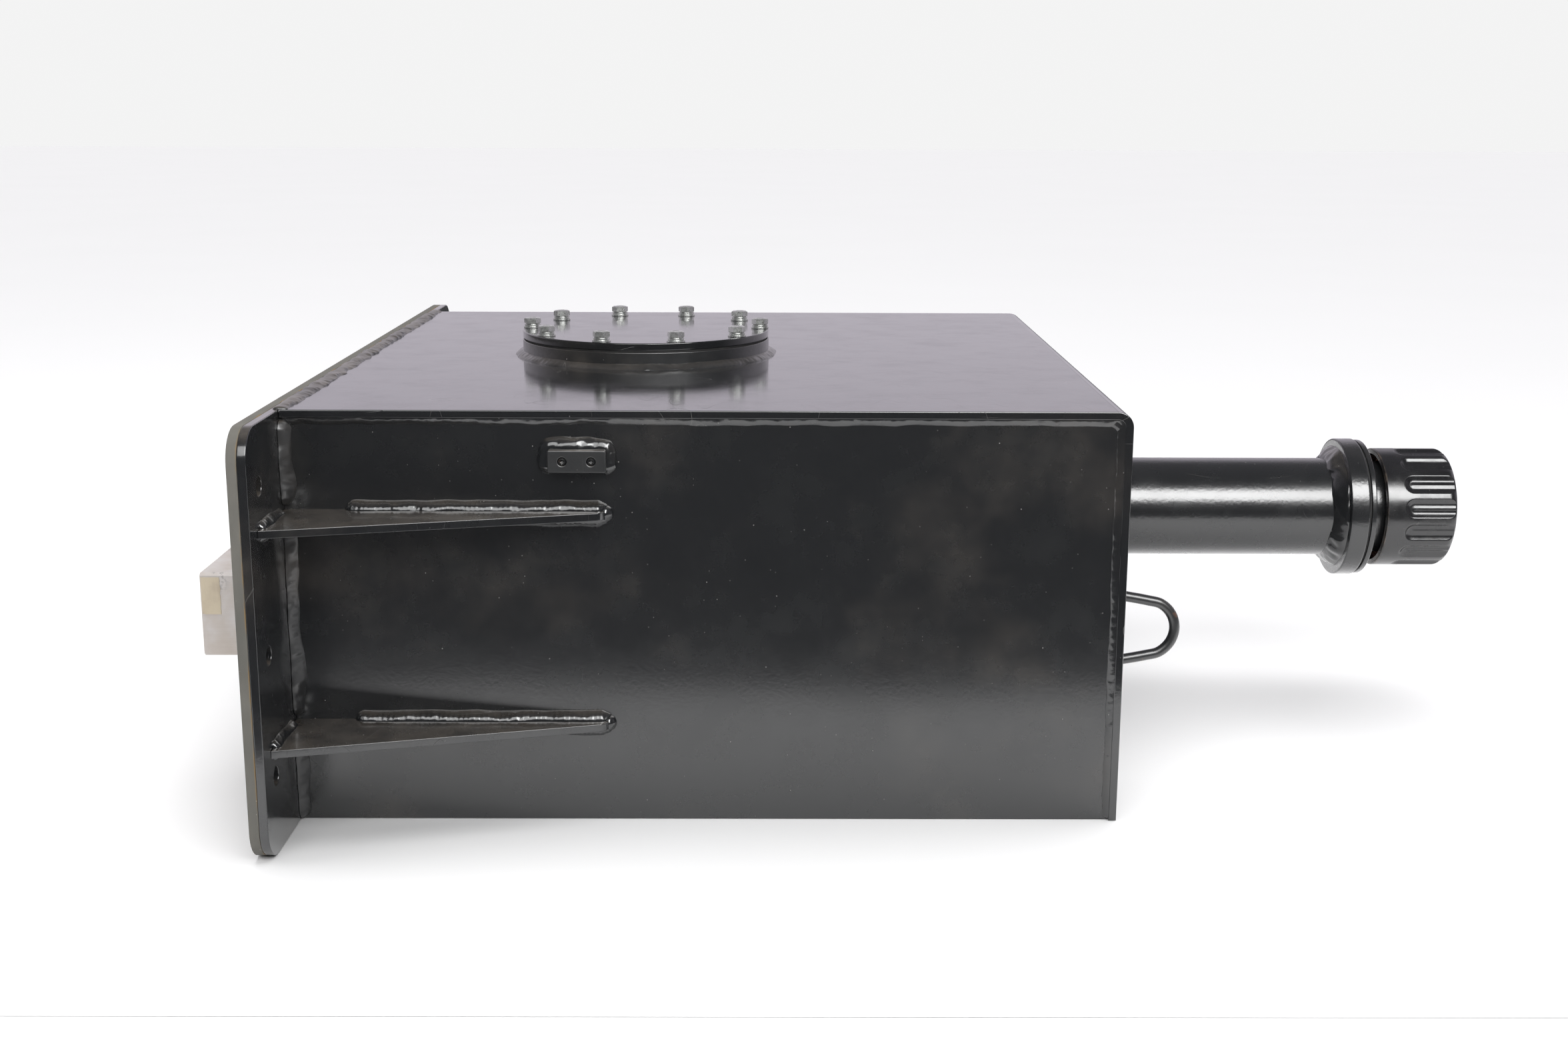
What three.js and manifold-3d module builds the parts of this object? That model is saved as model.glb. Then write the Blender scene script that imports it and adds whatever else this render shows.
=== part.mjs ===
// Hydraulic reservoir: a welded steel tank carried by an upright mounting plate at its left end.
// A bolted hand-hole cover closes the top, and a filler pipe with a fluted breather cap leaves
// the right end. Every plate, ring, seal, fastener and internal fitting is its own solid.
//
// Millimetres, +Z up, +X from the mounting plate to the cap, -Y the front. The origin is the
// centre of the whole part's footprint, on the ground.

import * as THREE from "three";
import { mergeVertices } from "three/addons/utils/BufferGeometryUtils.js";
import Module from "manifold-3d";

const wasm = await Module();
wasm.setup();

// ---------------------------------------------------------------- driving dimensions

const ROOT_GAP = 0.3; // gap under a weld, between two plates
const SEAT = 0.05; // clearance between faces that are bolted together

const TANK = { length: 630, depth: 650, height: 320, plate: 6, bend: 12, endInset: 3 };

const MOUNT = { plate: 6.5, pad: 7.5, ear: 90, corner: 25, hole: 14, fromEdge: 30 };
const MOUNT_HOLE_HEIGHTS = [58, 150, 275];

const GUSSET = { length: 239, root: 71, tip: 10, thickness: 6, tops: { upper: 245, lower: 81 } };

const COVER = { x: 249, diameter: 221, ring: 14, gasket: 1.5, plate: 6.5, opening: 160 };
const COVER_BOLTS = { count: 10, circle: 205, hole: 9, tapped: 8.8 };

const M8 = { shank: 8, length: 22, acrossFlats: 13, head: 5.3, flatWasher: 1.6, springWasher: 2.1 };

const FILLER = { height: 179, pipe: 88.9, wall: 3.2, length: 250, flange: 125, flangeThickness: 16.5 };
const NECK = { disc: 123, discThickness: 4.5, gasket: 2, collar: 84, bore: 78, length: 31.5 };
const NECK_SCREWS = { count: 4, circle: 103, head: 10, shank: 5, length: 14 };

const CAP = { diameter: 108, skirtGap: 12, straight: 56, crown: 8.6, bore: 97, roof: 4 };
const FLUTE = { count: 15, width: 17, depth: 3, start: 16.5, aboveFront: 9.9 }; // last one in degrees

const BAYONET = { count: 3, rimBore: 66, rimThickness: 3 };
const NOTCH = { radius: 37.5, halfAngle: 14 };
const LUG = { radius: 36.5, halfAngle: 11, gap: 2.5, thickness: 3, hub: 24, stem: 8 };
const SEAL = { thickness: 2.5, inner: 9, outer: 44, holes: 6, holeRadius: 3, holeCircle: 20 };
const SPRING = { wire: 1, radius: 13, turns: 4 };
const ELEMENT = { inner: 20, outer: 42, gap: 5 };
const RETAINER = { inner: 45, thickness: 2, behindRim: 1 };
const STRAINER = { length: 170, wall: 1.4, rimThickness: 1.2, ledge: 2.4, columns: 4 };
const STRAINER_SLOTS = { rows: 3, first: 14, length: 36, width: 9, pitch: 48 };

const LOOP = { rod: 8, y: -300, upper: 175, lower: 121, bendRadius: 22, bendCentre: 21 };

const SENSOR_PAD = { x: 219.2, z: 283.3, width: 43, height: 16.5, front: -334, holePitch: 21.3 };
const PAD_PLUG = { thread: 6.3, plug: 6, depth: 9 };

const BLOCK = { depth: 160, height: 66, width: 64, y: -207, z: 153, chamfer: 2 };
const COUNTERBORE = { depth: 3, step: 3 };
const PORTS = { suction: { y: -247, bore: 44 }, return: { y: -167, bore: 36 } };
const BOTTLE = { neck: 20, step: 3, wall: 2 };
const SUCTION_STRAINER = { radius: 36, length: 150 };
const DIFFUSER = { radius: 24, length: 120, slots: 4, first: 32, slotLength: 18, pitch: 26, slotWidth: 10 };

const BAFFLE = { y: -207, length: 430, height: 230, thickness: 4 };
const LIMBER = { size: 40, starts: [80, 220, 360] };
const DRAIN = { x: 560, boss: 50, bossHeight: 20, plug: 22, socket: 7, socketDepth: 9 };

const SIDES = { cover: 40, flange: 32, cap: 30, fitting: 20, port: 16, hole: 8, screw: 10 };

// ---------------------------------------------------------------- derived places

const FRONT = -TANK.depth / 2;
const FRONT_FACE = FRONT + TANK.endInset;
const MOUNT_BACK = -(MOUNT.plate + MOUNT.pad);
const BLOCK_BACK = MOUNT_BACK - BLOCK.width;
const COVER_TOP = TANK.height + COVER.ring + COVER.gasket + COVER.plate;

// Stations along the filler's axis, measured from the tank's right face.
const FLANGE_END = FILLER.length + FILLER.flangeThickness;
const NECK_FACE = FLANGE_END + NECK.gasket;
const COLLAR_START = NECK_FACE + NECK.discThickness;
const SKIRT_START = COLLAR_START + CAP.skirtGap;
const CAP_END = SKIRT_START + CAP.straight + CAP.crown;
const NECK_END = NECK_FACE + NECK.length;
const CAP_ROOF = CAP_END - CAP.roof;

const CENTRE_X = (BLOCK_BACK + TANK.length + CAP_END) / 2;

// ---------------------------------------------------------------- materials

const paint = (color, roughness, metalness) =>
  new THREE.MeshStandardMaterial({ color, roughness, metalness });

const blackPaint = () => paint(0x1d1e20, 0.25, 0.1);
const bareSteel = () => paint(0x9a9b98, 0.42, 0.9);
const zinc = () => paint(0xb9bbbd, 0.3, 0.95);
const rubber = () => paint(0x161616, 0.8, 0);
const padGrey = () => paint(0x6e6a60, 0.85, 0);
const capPlastic = () => paint(0x1b1c1e, 0.32, 0);
const filterPaper = () => paint(0xb9a77c, 0.95, 0);
const copperTone = () => paint(0x7a4630, 0.5, 0.6);

// ---------------------------------------------------------------- solid helpers

// Bare position-only mesh with merged vertices, no needle triangles and its faces pointing out.
function closed(geometry) {
  geometry.deleteAttribute("normal");
  geometry.deleteAttribute("uv");
  const merged = mergeVertices(geometry, 1e-4);
  const position = merged.attributes.position;
  const corner = [new THREE.Vector3(), new THREE.Vector3(), new THREE.Vector3()];
  const index = [];
  let volume = 0;
  for (let i = 0; i < merged.index.count; i += 3) {
    const [a, b, c] = [0, 1, 2].map((k) => merged.index.getX(i + k));
    if (a === b || b === c || c === a) continue;
    [a, b, c].forEach((vertex, k) => corner[k].fromBufferAttribute(position, vertex));
    volume += corner[0].dot(corner[1].clone().cross(corner[2]));
    index.push(a, b, c);
  }
  merged.setIndex(volume < 0 ? index.reverse() : index);
  return merged;
}

function toManifold(geometry) {
  const shape = closed(geometry);
  const vertProperties = new Float32Array(shape.attributes.position.array);
  const triVerts = new Uint32Array(shape.index.array);
  return new wasm.Manifold(new wasm.Mesh({ numProp: 3, vertProperties, triVerts }));
}

function toGeometry(manifold) {
  const mesh = manifold.getMesh();
  const geometry = new THREE.BufferGeometry();
  geometry.setAttribute("position", new THREE.BufferAttribute(mesh.vertProperties, 3));
  geometry.setIndex(new THREE.BufferAttribute(mesh.triVerts, 1));
  return geometry;
}

function cut(base, ...tools) {
  return toGeometry(tools.reduce((body, tool) => body.subtract(toManifold(tool)), toManifold(base)));
}

function join(base, ...others) {
  return toGeometry(others.reduce((body, other) => body.add(toManifold(other)), toManifold(base)));
}

function box([x0, x1], [y0, y1], [z0, z1]) {
  const geometry = new THREE.BoxGeometry(x1 - x0, y1 - y0, z1 - z0);
  return geometry.translate((x0 + x1) / 2, (y0 + y1) / 2, (z0 + z1) / 2);
}

function outline(points) {
  return new THREE.Shape(points.map(([u, v]) => new THREE.Vector2(u, v)));
}

function roundedRectangle(u0, u1, v0, v1, radius) {
  const shape = new THREE.Shape();
  shape.absarc(u1 - radius, v0 + radius, radius, -Math.PI / 2, 0);
  shape.absarc(u1 - radius, v1 - radius, radius, 0, Math.PI / 2);
  shape.absarc(u0 + radius, v1 - radius, radius, Math.PI / 2, Math.PI);
  shape.absarc(u0 + radius, v0 + radius, radius, Math.PI, 1.5 * Math.PI);
  return shape;
}

// An outline drawn in (Y, Z), (X, Z) or (X, Y), thickened along the axis that is left.
function extrudeX(shape, x0, x1, curveSegments = 4) {
  const geometry = new THREE.ExtrudeGeometry(shape, { depth: x1 - x0, bevelEnabled: false, curveSegments });
  const yzToX = new THREE.Matrix4().set(0, 0, 1, x0, 1, 0, 0, 0, 0, 1, 0, 0, 0, 0, 0, 1);
  return geometry.applyMatrix4(yzToX);
}

function extrudeY(shape, y0, y1, curveSegments = 4) {
  const geometry = new THREE.ExtrudeGeometry(shape, { depth: y1 - y0, bevelEnabled: false, curveSegments });
  return geometry.rotateX(Math.PI / 2).translate(0, y1, 0);
}

function extrudeZ(shape, z0, z1, curveSegments = 4) {
  const geometry = new THREE.ExtrudeGeometry(shape, { depth: z1 - z0, bevelEnabled: false, curveSegments });
  return geometry.translate(0, 0, z0);
}

// A profile of [station, radius] turned about X, or about Z.
function turnedX(profile, segments = SIDES.flange) {
  const points = profile.map(([station, radius]) => new THREE.Vector2(radius, station));
  return new THREE.LatheGeometry(points, segments).rotateZ(-Math.PI / 2);
}

function turnedZ(profile, segments = SIDES.fitting) {
  const points = profile.map(([station, radius]) => new THREE.Vector2(radius, station));
  return new THREE.LatheGeometry(points, segments).rotateX(Math.PI / 2);
}

// Closed profiles for the common turned shapes.
const discProfile = (from, to, radius) => [[from, 0], [from, radius], [to, radius], [to, 0]];

const ringProfile = (from, to, inner, outer) =>
  [[from, inner], [from, outer], [to, outer], [to, inner], [from, inner]];

const drillX = (from, to, radius, y, z, segments = SIDES.hole) =>
  turnedX(discProfile(from, to, radius), segments).translate(0, y, z);

const drillZ = (from, to, radius, x, y, segments = SIDES.hole) =>
  turnedZ(discProfile(from, to, radius), segments).translate(x, y, 0);

// A round rod along a curve.
function rod(curve, radius, steps, sides = 8) {
  const section = new THREE.Shape().absarc(0, 0, radius, 0, 2 * Math.PI);
  const options = { extrudePath: curve, steps, curveSegments: Math.ceil(sides / 2), bevelEnabled: false };
  return new THREE.ExtrudeGeometry(section, options);
}

// ---------------------------------------------------------------- scene graph

const reservoir = new THREE.Group();
reservoir.position.x = -CENTRE_X;

const fillerLine = new THREE.Group();
fillerLine.position.set(TANK.length, 0, FILLER.height);
reservoir.add(fillerLine);

function place(parent, name, geometry, material, position = [0, 0, 0]) {
  const mesh = new THREE.Mesh(closed(geometry), material);
  mesh.name = name;
  mesh.position.set(...position);
  parent.add(mesh);
}

const numbered = (name, index) => `${name}_${String(index + 1).padStart(2, "0")}`;

// ---------------------------------------------------------------- tank plates

// Top and right side are one plate, bent round a radius.
function shellWrap() {
  const { length, height, plate, bend } = TANK;
  const shape = new THREE.Shape();
  shape.moveTo(ROOT_GAP, height);
  shape.lineTo(length - bend, height);
  shape.absarc(length - bend, height - bend, bend, Math.PI / 2, 0, true);
  shape.lineTo(length, 0);
  shape.lineTo(length - plate, 0);
  shape.absarc(length - bend, height - bend, bend - plate, 0, Math.PI / 2);
  shape.lineTo(ROOT_GAP, height - plate);
  const handHole = drillZ(height - 2 * plate, height + plate, COVER.opening / 2, COVER.x, 0, SIDES.cover);
  const pipeRadius = FILLER.pipe / 2 + ROOT_GAP;
  const pipeHole = drillX(length - 2 * plate, length + plate, pipeRadius, 0, FILLER.height, SIDES.flange);
  return cut(extrudeY(shape, FRONT, -FRONT), handHole, pipeHole);
}

// The end plates sit inside the wrap, a little behind its edges, with one rounded corner.
function endPlate(y0, y1) {
  const { length, height, plate, bend } = TANK;
  const right = length - plate - ROOT_GAP;
  const top = height - plate - ROOT_GAP;
  const radius = bend - plate - ROOT_GAP;
  const shape = new THREE.Shape();
  shape.moveTo(ROOT_GAP, 0);
  shape.lineTo(right, 0);
  shape.absarc(right - radius, top - radius, radius, 0, Math.PI / 2);
  shape.lineTo(ROOT_GAP, top);
  return extrudeY(shape, y0, y1);
}

function floorPlate() {
  const inner = -FRONT_FACE - TANK.plate - ROOT_GAP;
  const right = TANK.length - TANK.plate - ROOT_GAP;
  const plate = box([ROOT_GAP, right], [-inner, inner], [0, TANK.plate]);
  return cut(plate, drillZ(-1, 2 * TANK.plate, DRAIN.boss / 2 + ROOT_GAP, DRAIN.x, 0, SIDES.port));
}

place(reservoir, "shell_wrap", shellWrap(), blackPaint());
place(reservoir, "floor_plate", floorPlate(), blackPaint());
place(reservoir, "front_plate", endPlate(FRONT_FACE, FRONT_FACE + TANK.plate), blackPaint());
place(reservoir, "rear_plate", endPlate(-FRONT_FACE - TANK.plate, -FRONT_FACE), blackPaint());

// ---------------------------------------------------------------- mounting plate, pad and gussets

// The plate and the pad behind it share one outline, bolt holes and port holes.
function mountingLayer(x0, x1) {
  const halfWidth = TANK.depth / 2 + MOUNT.ear;
  const layer = extrudeX(roundedRectangle(-halfWidth, halfWidth, 0, TANK.height, MOUNT.corner), x0, x1);
  const holes = [];
  for (const side of [-1, 1]) {
    for (const z of MOUNT_HOLE_HEIGHTS) {
      holes.push(drillX(x0 - 1, x1 + 1, MOUNT.hole / 2, side * (halfWidth - MOUNT.fromEdge), z));
    }
  }
  for (const port of Object.values(PORTS)) {
    holes.push(drillX(x0 - 1, x1 + 1, port.bore / 2, port.y, BLOCK.z, SIDES.port));
  }
  return cut(layer, ...holes);
}

// A tapered horizontal plate that ties an ear to the tank's front or rear.
function gusset(top, side) {
  const { length, root, tip, thickness } = GUSSET;
  const wall = side * (-FRONT_FACE + ROOT_GAP);
  const edge = -side * FRONT;
  const shape = outline([
    [ROOT_GAP, wall],
    [ROOT_GAP, edge + side * root],
    [length - tip / 2, edge + side * tip],
    [length, edge + side * (tip / 2)],
    [length, wall],
  ]);
  return extrudeZ(shape, top - thickness, top);
}

place(reservoir, "mounting_plate", mountingLayer(-MOUNT.plate, 0), blackPaint());
place(reservoir, "mounting_pad", mountingLayer(MOUNT_BACK, -MOUNT.plate - SEAT), padGrey());
for (const [level, top] of Object.entries(GUSSET.tops)) {
  place(reservoir, `gusset_front_${level}`, gusset(top, -1), blackPaint());
  place(reservoir, `gusset_rear_${level}`, gusset(top, 1), blackPaint());
}

// ---------------------------------------------------------------- hand-hole cover

// Bolt places as [x, y], the first one half a pitch clear of the front centre line.
const coverBoltPlaces = Array.from({ length: COVER_BOLTS.count }, (_, i) => {
  const angle = ((i + 0.5) * 2 * Math.PI) / COVER_BOLTS.count;
  const radius = COVER_BOLTS.circle / 2;
  return [COVER.x + radius * Math.sin(angle), -radius * Math.cos(angle)];
});

// A ring or disc of the cover stack, drilled for the bolts.
function coverLayer(from, to, inner, outer, holeDiameter) {
  const profile = inner > 0 ? ringProfile(from, to, inner, outer) : discProfile(from, to, outer);
  const blank = turnedZ(profile, SIDES.cover).translate(COVER.x, 0, 0);
  const holes = coverBoltPlaces.map(([x, y]) => drillZ(from - 1, to + 1, holeDiameter / 2, x, y));
  return cut(blank, ...holes);
}

// Hexagon head with a chamfered top, its underside at z = 0, on a plain shank.
function hexBolt({ shank, length, acrossFlats, head }) {
  const corner = acrossFlats / Math.sqrt(3);
  const chamfer = 0.8;
  const headProfile = [[0, 0], [0, corner], [head - chamfer, corner], [head, corner - chamfer], [head, 0]];
  return join(turnedZ(headProfile, 6), turnedZ(discProfile(-length, 1, shank / 2), SIDES.screw));
}

// A spring washer on a flat washer, as one stepped ring that starts at z = 0.
function washerPair({ shank, flatWasher, springWasher }) {
  const bore = shank / 2 + ROOT_GAP;
  const top = flatWasher + springWasher;
  const [flatRadius, springRadius] = [shank, shank * 0.88];
  return turnedZ([
    [0, bore], [0, flatRadius], [flatWasher, flatRadius],
    [flatWasher, springRadius], [top, springRadius], [top, bore], [0, bore],
  ], SIDES.screw);
}

const ringTop = TANK.height + COVER.ring;
const gasketTop = ringTop + COVER.gasket;
const washerHeight = M8.flatWasher + M8.springWasher;
const coverRadius = COVER.diameter / 2;

const handHole = COVER.opening / 2;
const ringLayer = coverLayer(TANK.height + ROOT_GAP, ringTop, handHole, coverRadius, COVER_BOLTS.tapped);
const gasketLayer = coverLayer(ringTop + SEAT, gasketTop, handHole, coverRadius - 1, COVER_BOLTS.hole);
const plateLayer = coverLayer(gasketTop + SEAT, COVER_TOP, 0, coverRadius, COVER_BOLTS.hole);

place(reservoir, "cover_flange_ring", ringLayer, blackPaint());
place(reservoir, "cover_gasket", gasketLayer, rubber());
place(reservoir, "access_cover", plateLayer, blackPaint());
coverBoltPlaces.forEach(([x, y], i) => {
  const seat = COVER_TOP + SEAT;
  place(reservoir, numbered("cover_washer", i), washerPair(M8), zinc(), [x, y, seat]);
  place(reservoir, numbered("cover_bolt", i), hexBolt(M8), zinc(), [x, y, seat + washerHeight + SEAT]);
});

// ---------------------------------------------------------------- filler pipe, flange and neck

const neckScrewPlaces = Array.from({ length: NECK_SCREWS.count }, (_, i) => {
  const angle = ((i + 0.5) * 2 * Math.PI) / NECK_SCREWS.count;
  return [NECK_SCREWS.circle / 2 * Math.sin(angle), NECK_SCREWS.circle / 2 * Math.cos(angle)];
});

const screwHoles = (from, to, radius) => neckScrewPlaces.map(([y, z]) => drillX(from, to, radius, y, z));

function fillerPipe() {
  const outer = FILLER.pipe / 2;
  const insideEnd = -2 * TANK.plate;
  const outsideEnd = FLANGE_END - 4;
  return turnedX(ringProfile(insideEnd, outsideEnd, outer - FILLER.wall, outer));
}

function fillerFlange() {
  const bore = FILLER.pipe / 2 + ROOT_GAP;
  const ring = turnedX(ringProfile(FILLER.length, FLANGE_END, bore, FILLER.flange / 2));
  const bottom = COLLAR_START - NECK_SCREWS.length - 1;
  return cut(ring, ...screwHoles(bottom, FLANGE_END + 1, NECK_SCREWS.shank / 2 + ROOT_GAP));
}

function fillerGasket() {
  const ring = turnedX(ringProfile(FLANGE_END + SEAT, NECK_FACE, FILLER.pipe / 2, NECK.disc / 2 - 1.5));
  return cut(ring, ...screwHoles(FLANGE_END - 1, NECK_FACE + 1, NECK_SCREWS.shank / 2 + ROOT_GAP));
}

// Disc with a rolled lip, a collar, a ledge for the strainer, and a notched bayonet rim.
function fillerNeck() {
  const start = NECK_FACE + SEAT;
  const discRadius = NECK.disc / 2;
  const lip = 2;
  const bore = NECK.bore / 2;
  const ledge = STRAINER.ledge;
  const blank = turnedX([
    [start, bore - ledge], [start, discRadius - lip / 2], [start + lip / 2, discRadius],
    [COLLAR_START - lip / 2, discRadius], [COLLAR_START, discRadius - lip / 2],
    [COLLAR_START, NECK.collar / 2], [NECK_END, NECK.collar / 2],
    [NECK_END, BAYONET.rimBore / 2], [NECK_END - BAYONET.rimThickness, BAYONET.rimBore / 2],
    [NECK_END - BAYONET.rimThickness, bore], [start + ledge, bore], [start + ledge, bore - ledge],
    [start, bore - ledge],
  ]);
  const rimSpan = [NECK_END - BAYONET.rimThickness - 1, NECK_END + 1];
  const notches = bayonetSectors(rimSpan, NOTCH.radius, NOTCH.halfAngle);
  const countersinks = neckScrewPlaces.map(([y, z]) =>
    countersunkScrew(ROOT_GAP).translate(COLLAR_START, y, z));
  return cut(blank, ...notches, ...countersinks);
}

// Wedges that reach from the axis to a radius, one for each bayonet lug.
function bayonetSectors([x0, x1], radius, halfAngle) {
  const half = THREE.MathUtils.degToRad(halfAngle);
  return Array.from({ length: BAYONET.count }, (_, i) => {
    const centre = Math.PI / 2 + (i * 2 * Math.PI) / BAYONET.count;
    const shape = new THREE.Shape();
    shape.moveTo(0, 0);
    shape.lineTo(radius * Math.cos(centre - half), radius * Math.sin(centre - half));
    shape.absarc(0, 0, radius, centre - half, centre + half);
    return extrudeX(shape, x0, x1, 3);
  });
}

// Countersunk screw along -X with its flat head flush with x = 0, grown by a clearance.
function countersunkScrew(clearance) {
  const head = NECK_SCREWS.head / 2 + clearance;
  const shank = NECK_SCREWS.shank / 2 + clearance;
  const tip = -NECK_SCREWS.length - clearance;
  const top = clearance > 0 ? 1 : 0;
  const profile = [[tip, 0], [tip, shank], [shank - head, shank], [0, head], [top, head], [top, 0]];
  return turnedX(profile, SIDES.screw);
}

// Slotted basket that hangs in the pipe by its rim.
function fillerStrainer() {
  const { wall, ledge, columns } = STRAINER;
  const rim = { from: NECK_FACE + ledge + 4 * SEAT, radius: NECK.bore / 2 - ROOT_GAP };
  const outer = NECK.bore / 2 - ledge - ROOT_GAP;
  const closedEnd = FLANGE_END - STRAINER.length;
  const top = rim.from + STRAINER.rimThickness;
  const blank = turnedX([
    [closedEnd, 0], [closedEnd, outer], [rim.from, outer], [rim.from, rim.radius],
    [top, rim.radius], [top, outer - wall], [closedEnd + wall, outer - wall], [closedEnd + wall, 0],
  ], SIDES.fitting);
  const { rows, first, length, width, pitch } = STRAINER_SLOTS;
  const slots = [];
  for (let row = 0; row < rows; row += 1) {
    const x = closedEnd + first + row * pitch;
    for (let column = 0; column < columns; column += 1) {
      const bar = box([x, x + length], [-outer - 1, outer + 1], [-width / 2, width / 2]);
      slots.push(bar.rotateX((column * Math.PI) / columns));
    }
  }
  return cut(blank, ...slots);
}

place(fillerLine, "filler_pipe", fillerPipe(), blackPaint());
place(fillerLine, "filler_flange", fillerFlange(), blackPaint());
place(fillerLine, "filler_gasket", fillerGasket(), rubber());
place(fillerLine, "filler_neck", fillerNeck(), blackPaint());
place(fillerLine, "filler_strainer", fillerStrainer(), zinc());
neckScrewPlaces.forEach(([y, z], i) => {
  place(fillerLine, numbered("neck_screw", i), countersunkScrew(0), zinc(), [COLLAR_START, y, z]);
});

// ---------------------------------------------------------------- breather cap

// Cup with a rounded crown and a ring of flutes that run out through the crown.
function capShell() {
  const [outer, inner] = [CAP.diameter / 2, CAP.bore / 2];
  const crownStart = SKIRT_START + CAP.straight;
  const crown = [0, 1, 2, 3].map((step) => {
    const angle = (step / 3) * (Math.PI / 2);
    return [crownStart + CAP.crown * Math.sin(angle), outer - CAP.crown * (1 - Math.cos(angle))];
  });
  const blank = turnedX([
    [SKIRT_START, inner], [SKIRT_START, outer - 1], [SKIRT_START + 1, outer], ...crown,
    [CAP_END, 0], [CAP_ROOF, 0], [CAP_ROOF, inner - 4], [CAP_ROOF - 4, inner], [SKIRT_START, inner],
  ], SIDES.cap);
  return cut(blank, ...capFlutes(outer));
}

// Flute cutters: straight slots with a round start, the first one a little above the front.
function capFlutes(outer) {
  const half = FLUTE.width / 2;
  const start = SKIRT_START + FLUTE.start;
  const shape = new THREE.Shape();
  shape.moveTo(CAP_END + 2, half);
  shape.lineTo(start + half, half);
  shape.absarc(start + half, 0, half, Math.PI / 2, 1.5 * Math.PI);
  shape.lineTo(CAP_END + 2, -half);
  const firstTurn = THREE.MathUtils.degToRad(90 - FLUTE.aboveFront);
  return Array.from({ length: FLUTE.count }, (_, i) => {
    const slot = extrudeZ(shape, outer - FLUTE.depth, outer + 1, 3);
    return slot.rotateX(firstTurn + (i * 2 * Math.PI) / FLUTE.count);
  });
}

// Hub with three bayonet lugs under the neck's rim, on a stem fixed to the cap's roof.
function capLugPlate() {
  const lugTop = NECK_END - BAYONET.rimThickness - LUG.gap;
  const lugs = [lugTop - LUG.thickness, lugTop];
  const stem = turnedX(discProfile(lugs[0], CAP_ROOF - ROOT_GAP, LUG.stem), SIDES.port);
  const hub = turnedX(discProfile(...lugs, LUG.hub), SIDES.fitting);
  return join(stem, hub, ...bayonetSectors(lugs, LUG.radius, LUG.halfAngle));
}

const gasketFace = NECK_END + SEAT;
const sealFace = gasketFace + SEAL.thickness;
const sealBack = sealFace + SEAL.thickness;

// Spring-loaded plate that presses the gasket on the neck's rim, with breather holes.
function capSealPlate() {
  const plate = turnedX(ringProfile(sealFace + SEAT, sealBack, SEAL.inner, SEAL.outer), SIDES.fitting);
  const holes = Array.from({ length: SEAL.holes }, (_, i) => {
    const angle = ((i + 0.5) * 2 * Math.PI) / SEAL.holes;
    const [y, z] = [SEAL.holeCircle * Math.sin(angle), SEAL.holeCircle * Math.cos(angle)];
    return drillX(sealFace - 1, sealBack + 1, SEAL.holeRadius, y, z);
  });
  return cut(plate, ...holes);
}

// Coil spring round the stem, between the seal plate and the cap's roof.
function capSpring() {
  const { wire, radius, turns } = SPRING;
  const [from, to] = [sealBack + wire + ROOT_GAP, CAP_ROOF - wire - ROOT_GAP];
  class Helix extends THREE.Curve {
    getPoint(t, target = new THREE.Vector3()) {
      const angle = 2 * Math.PI * turns * t;
      return target.set(from + (to - from) * t, radius * Math.cos(angle), radius * Math.sin(angle));
    }
  }
  return rod(new Helix(), wire, turns * 9, 6);
}

const gasketRing = ringProfile(gasketFace, sealFace, NOTCH.radius + 0.5, SEAL.outer);
const elementRing = ringProfile(sealBack + ELEMENT.gap, CAP_ROOF - 2, ELEMENT.inner, ELEMENT.outer);
const retainerEnd = NECK_END - RETAINER.behindRim;
const retainerRing =
  ringProfile(retainerEnd - RETAINER.thickness, retainerEnd, RETAINER.inner, CAP.bore / 2 - ROOT_GAP);

place(fillerLine, "cap_shell", capShell(), capPlastic());
place(fillerLine, "cap_lug_plate", capLugPlate(), zinc());
place(fillerLine, "cap_gasket", turnedX(gasketRing, SIDES.fitting), rubber());
place(fillerLine, "cap_seal_plate", capSealPlate(), zinc());
place(fillerLine, "cap_spring", capSpring(), zinc());
place(fillerLine, "breather_element", turnedX(elementRing, SIDES.fitting), filterPaper());
place(fillerLine, "cap_retaining_ring", turnedX(retainerRing), copperTone());

// ---------------------------------------------------------------- tie-down loop

// U-shaped rod: two converging legs and a half-round bend, trimmed flush with the right face.
function tieDownLoop() {
  const buried = 8;
  const middle = (LOOP.upper + LOOP.lower) / 2;
  const half = (LOOP.upper - LOOP.lower) / 2;
  const at = (x, z) => new THREE.Vector3(TANK.length + x, LOOP.y, middle + z);
  const path = [at(-buried, half)];
  const bendSteps = 6;
  for (let i = 0; i <= bendSteps; i += 1) {
    const angle = Math.PI / 2 - (i * Math.PI) / bendSteps;
    path.push(at(LOOP.bendCentre + LOOP.bendRadius * Math.cos(angle), LOOP.bendRadius * Math.sin(angle)));
  }
  path.push(at(-buried, -half));
  const bent = rod(new THREE.CatmullRomCurve3(path, false, "centripetal"), LOOP.rod / 2, 24);
  const wall = [TANK.length - 2 * buried, TANK.length + ROOT_GAP];
  return cut(bent, box(wall, [2 * LOOP.y, 0], [0, TANK.height]));
}

place(reservoir, "tie_down_loop", tieDownLoop(), blackPaint());

// ---------------------------------------------------------------- sensor pad

const padHoles = [-1, 1].map((side) => SENSOR_PAD.x + (side * SENSOR_PAD.holePitch) / 2);

// A blind hole along +Y, or the plug in it.
const alongY = (profile, segments) => turnedX(profile, segments).rotateZ(Math.PI / 2);

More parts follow.
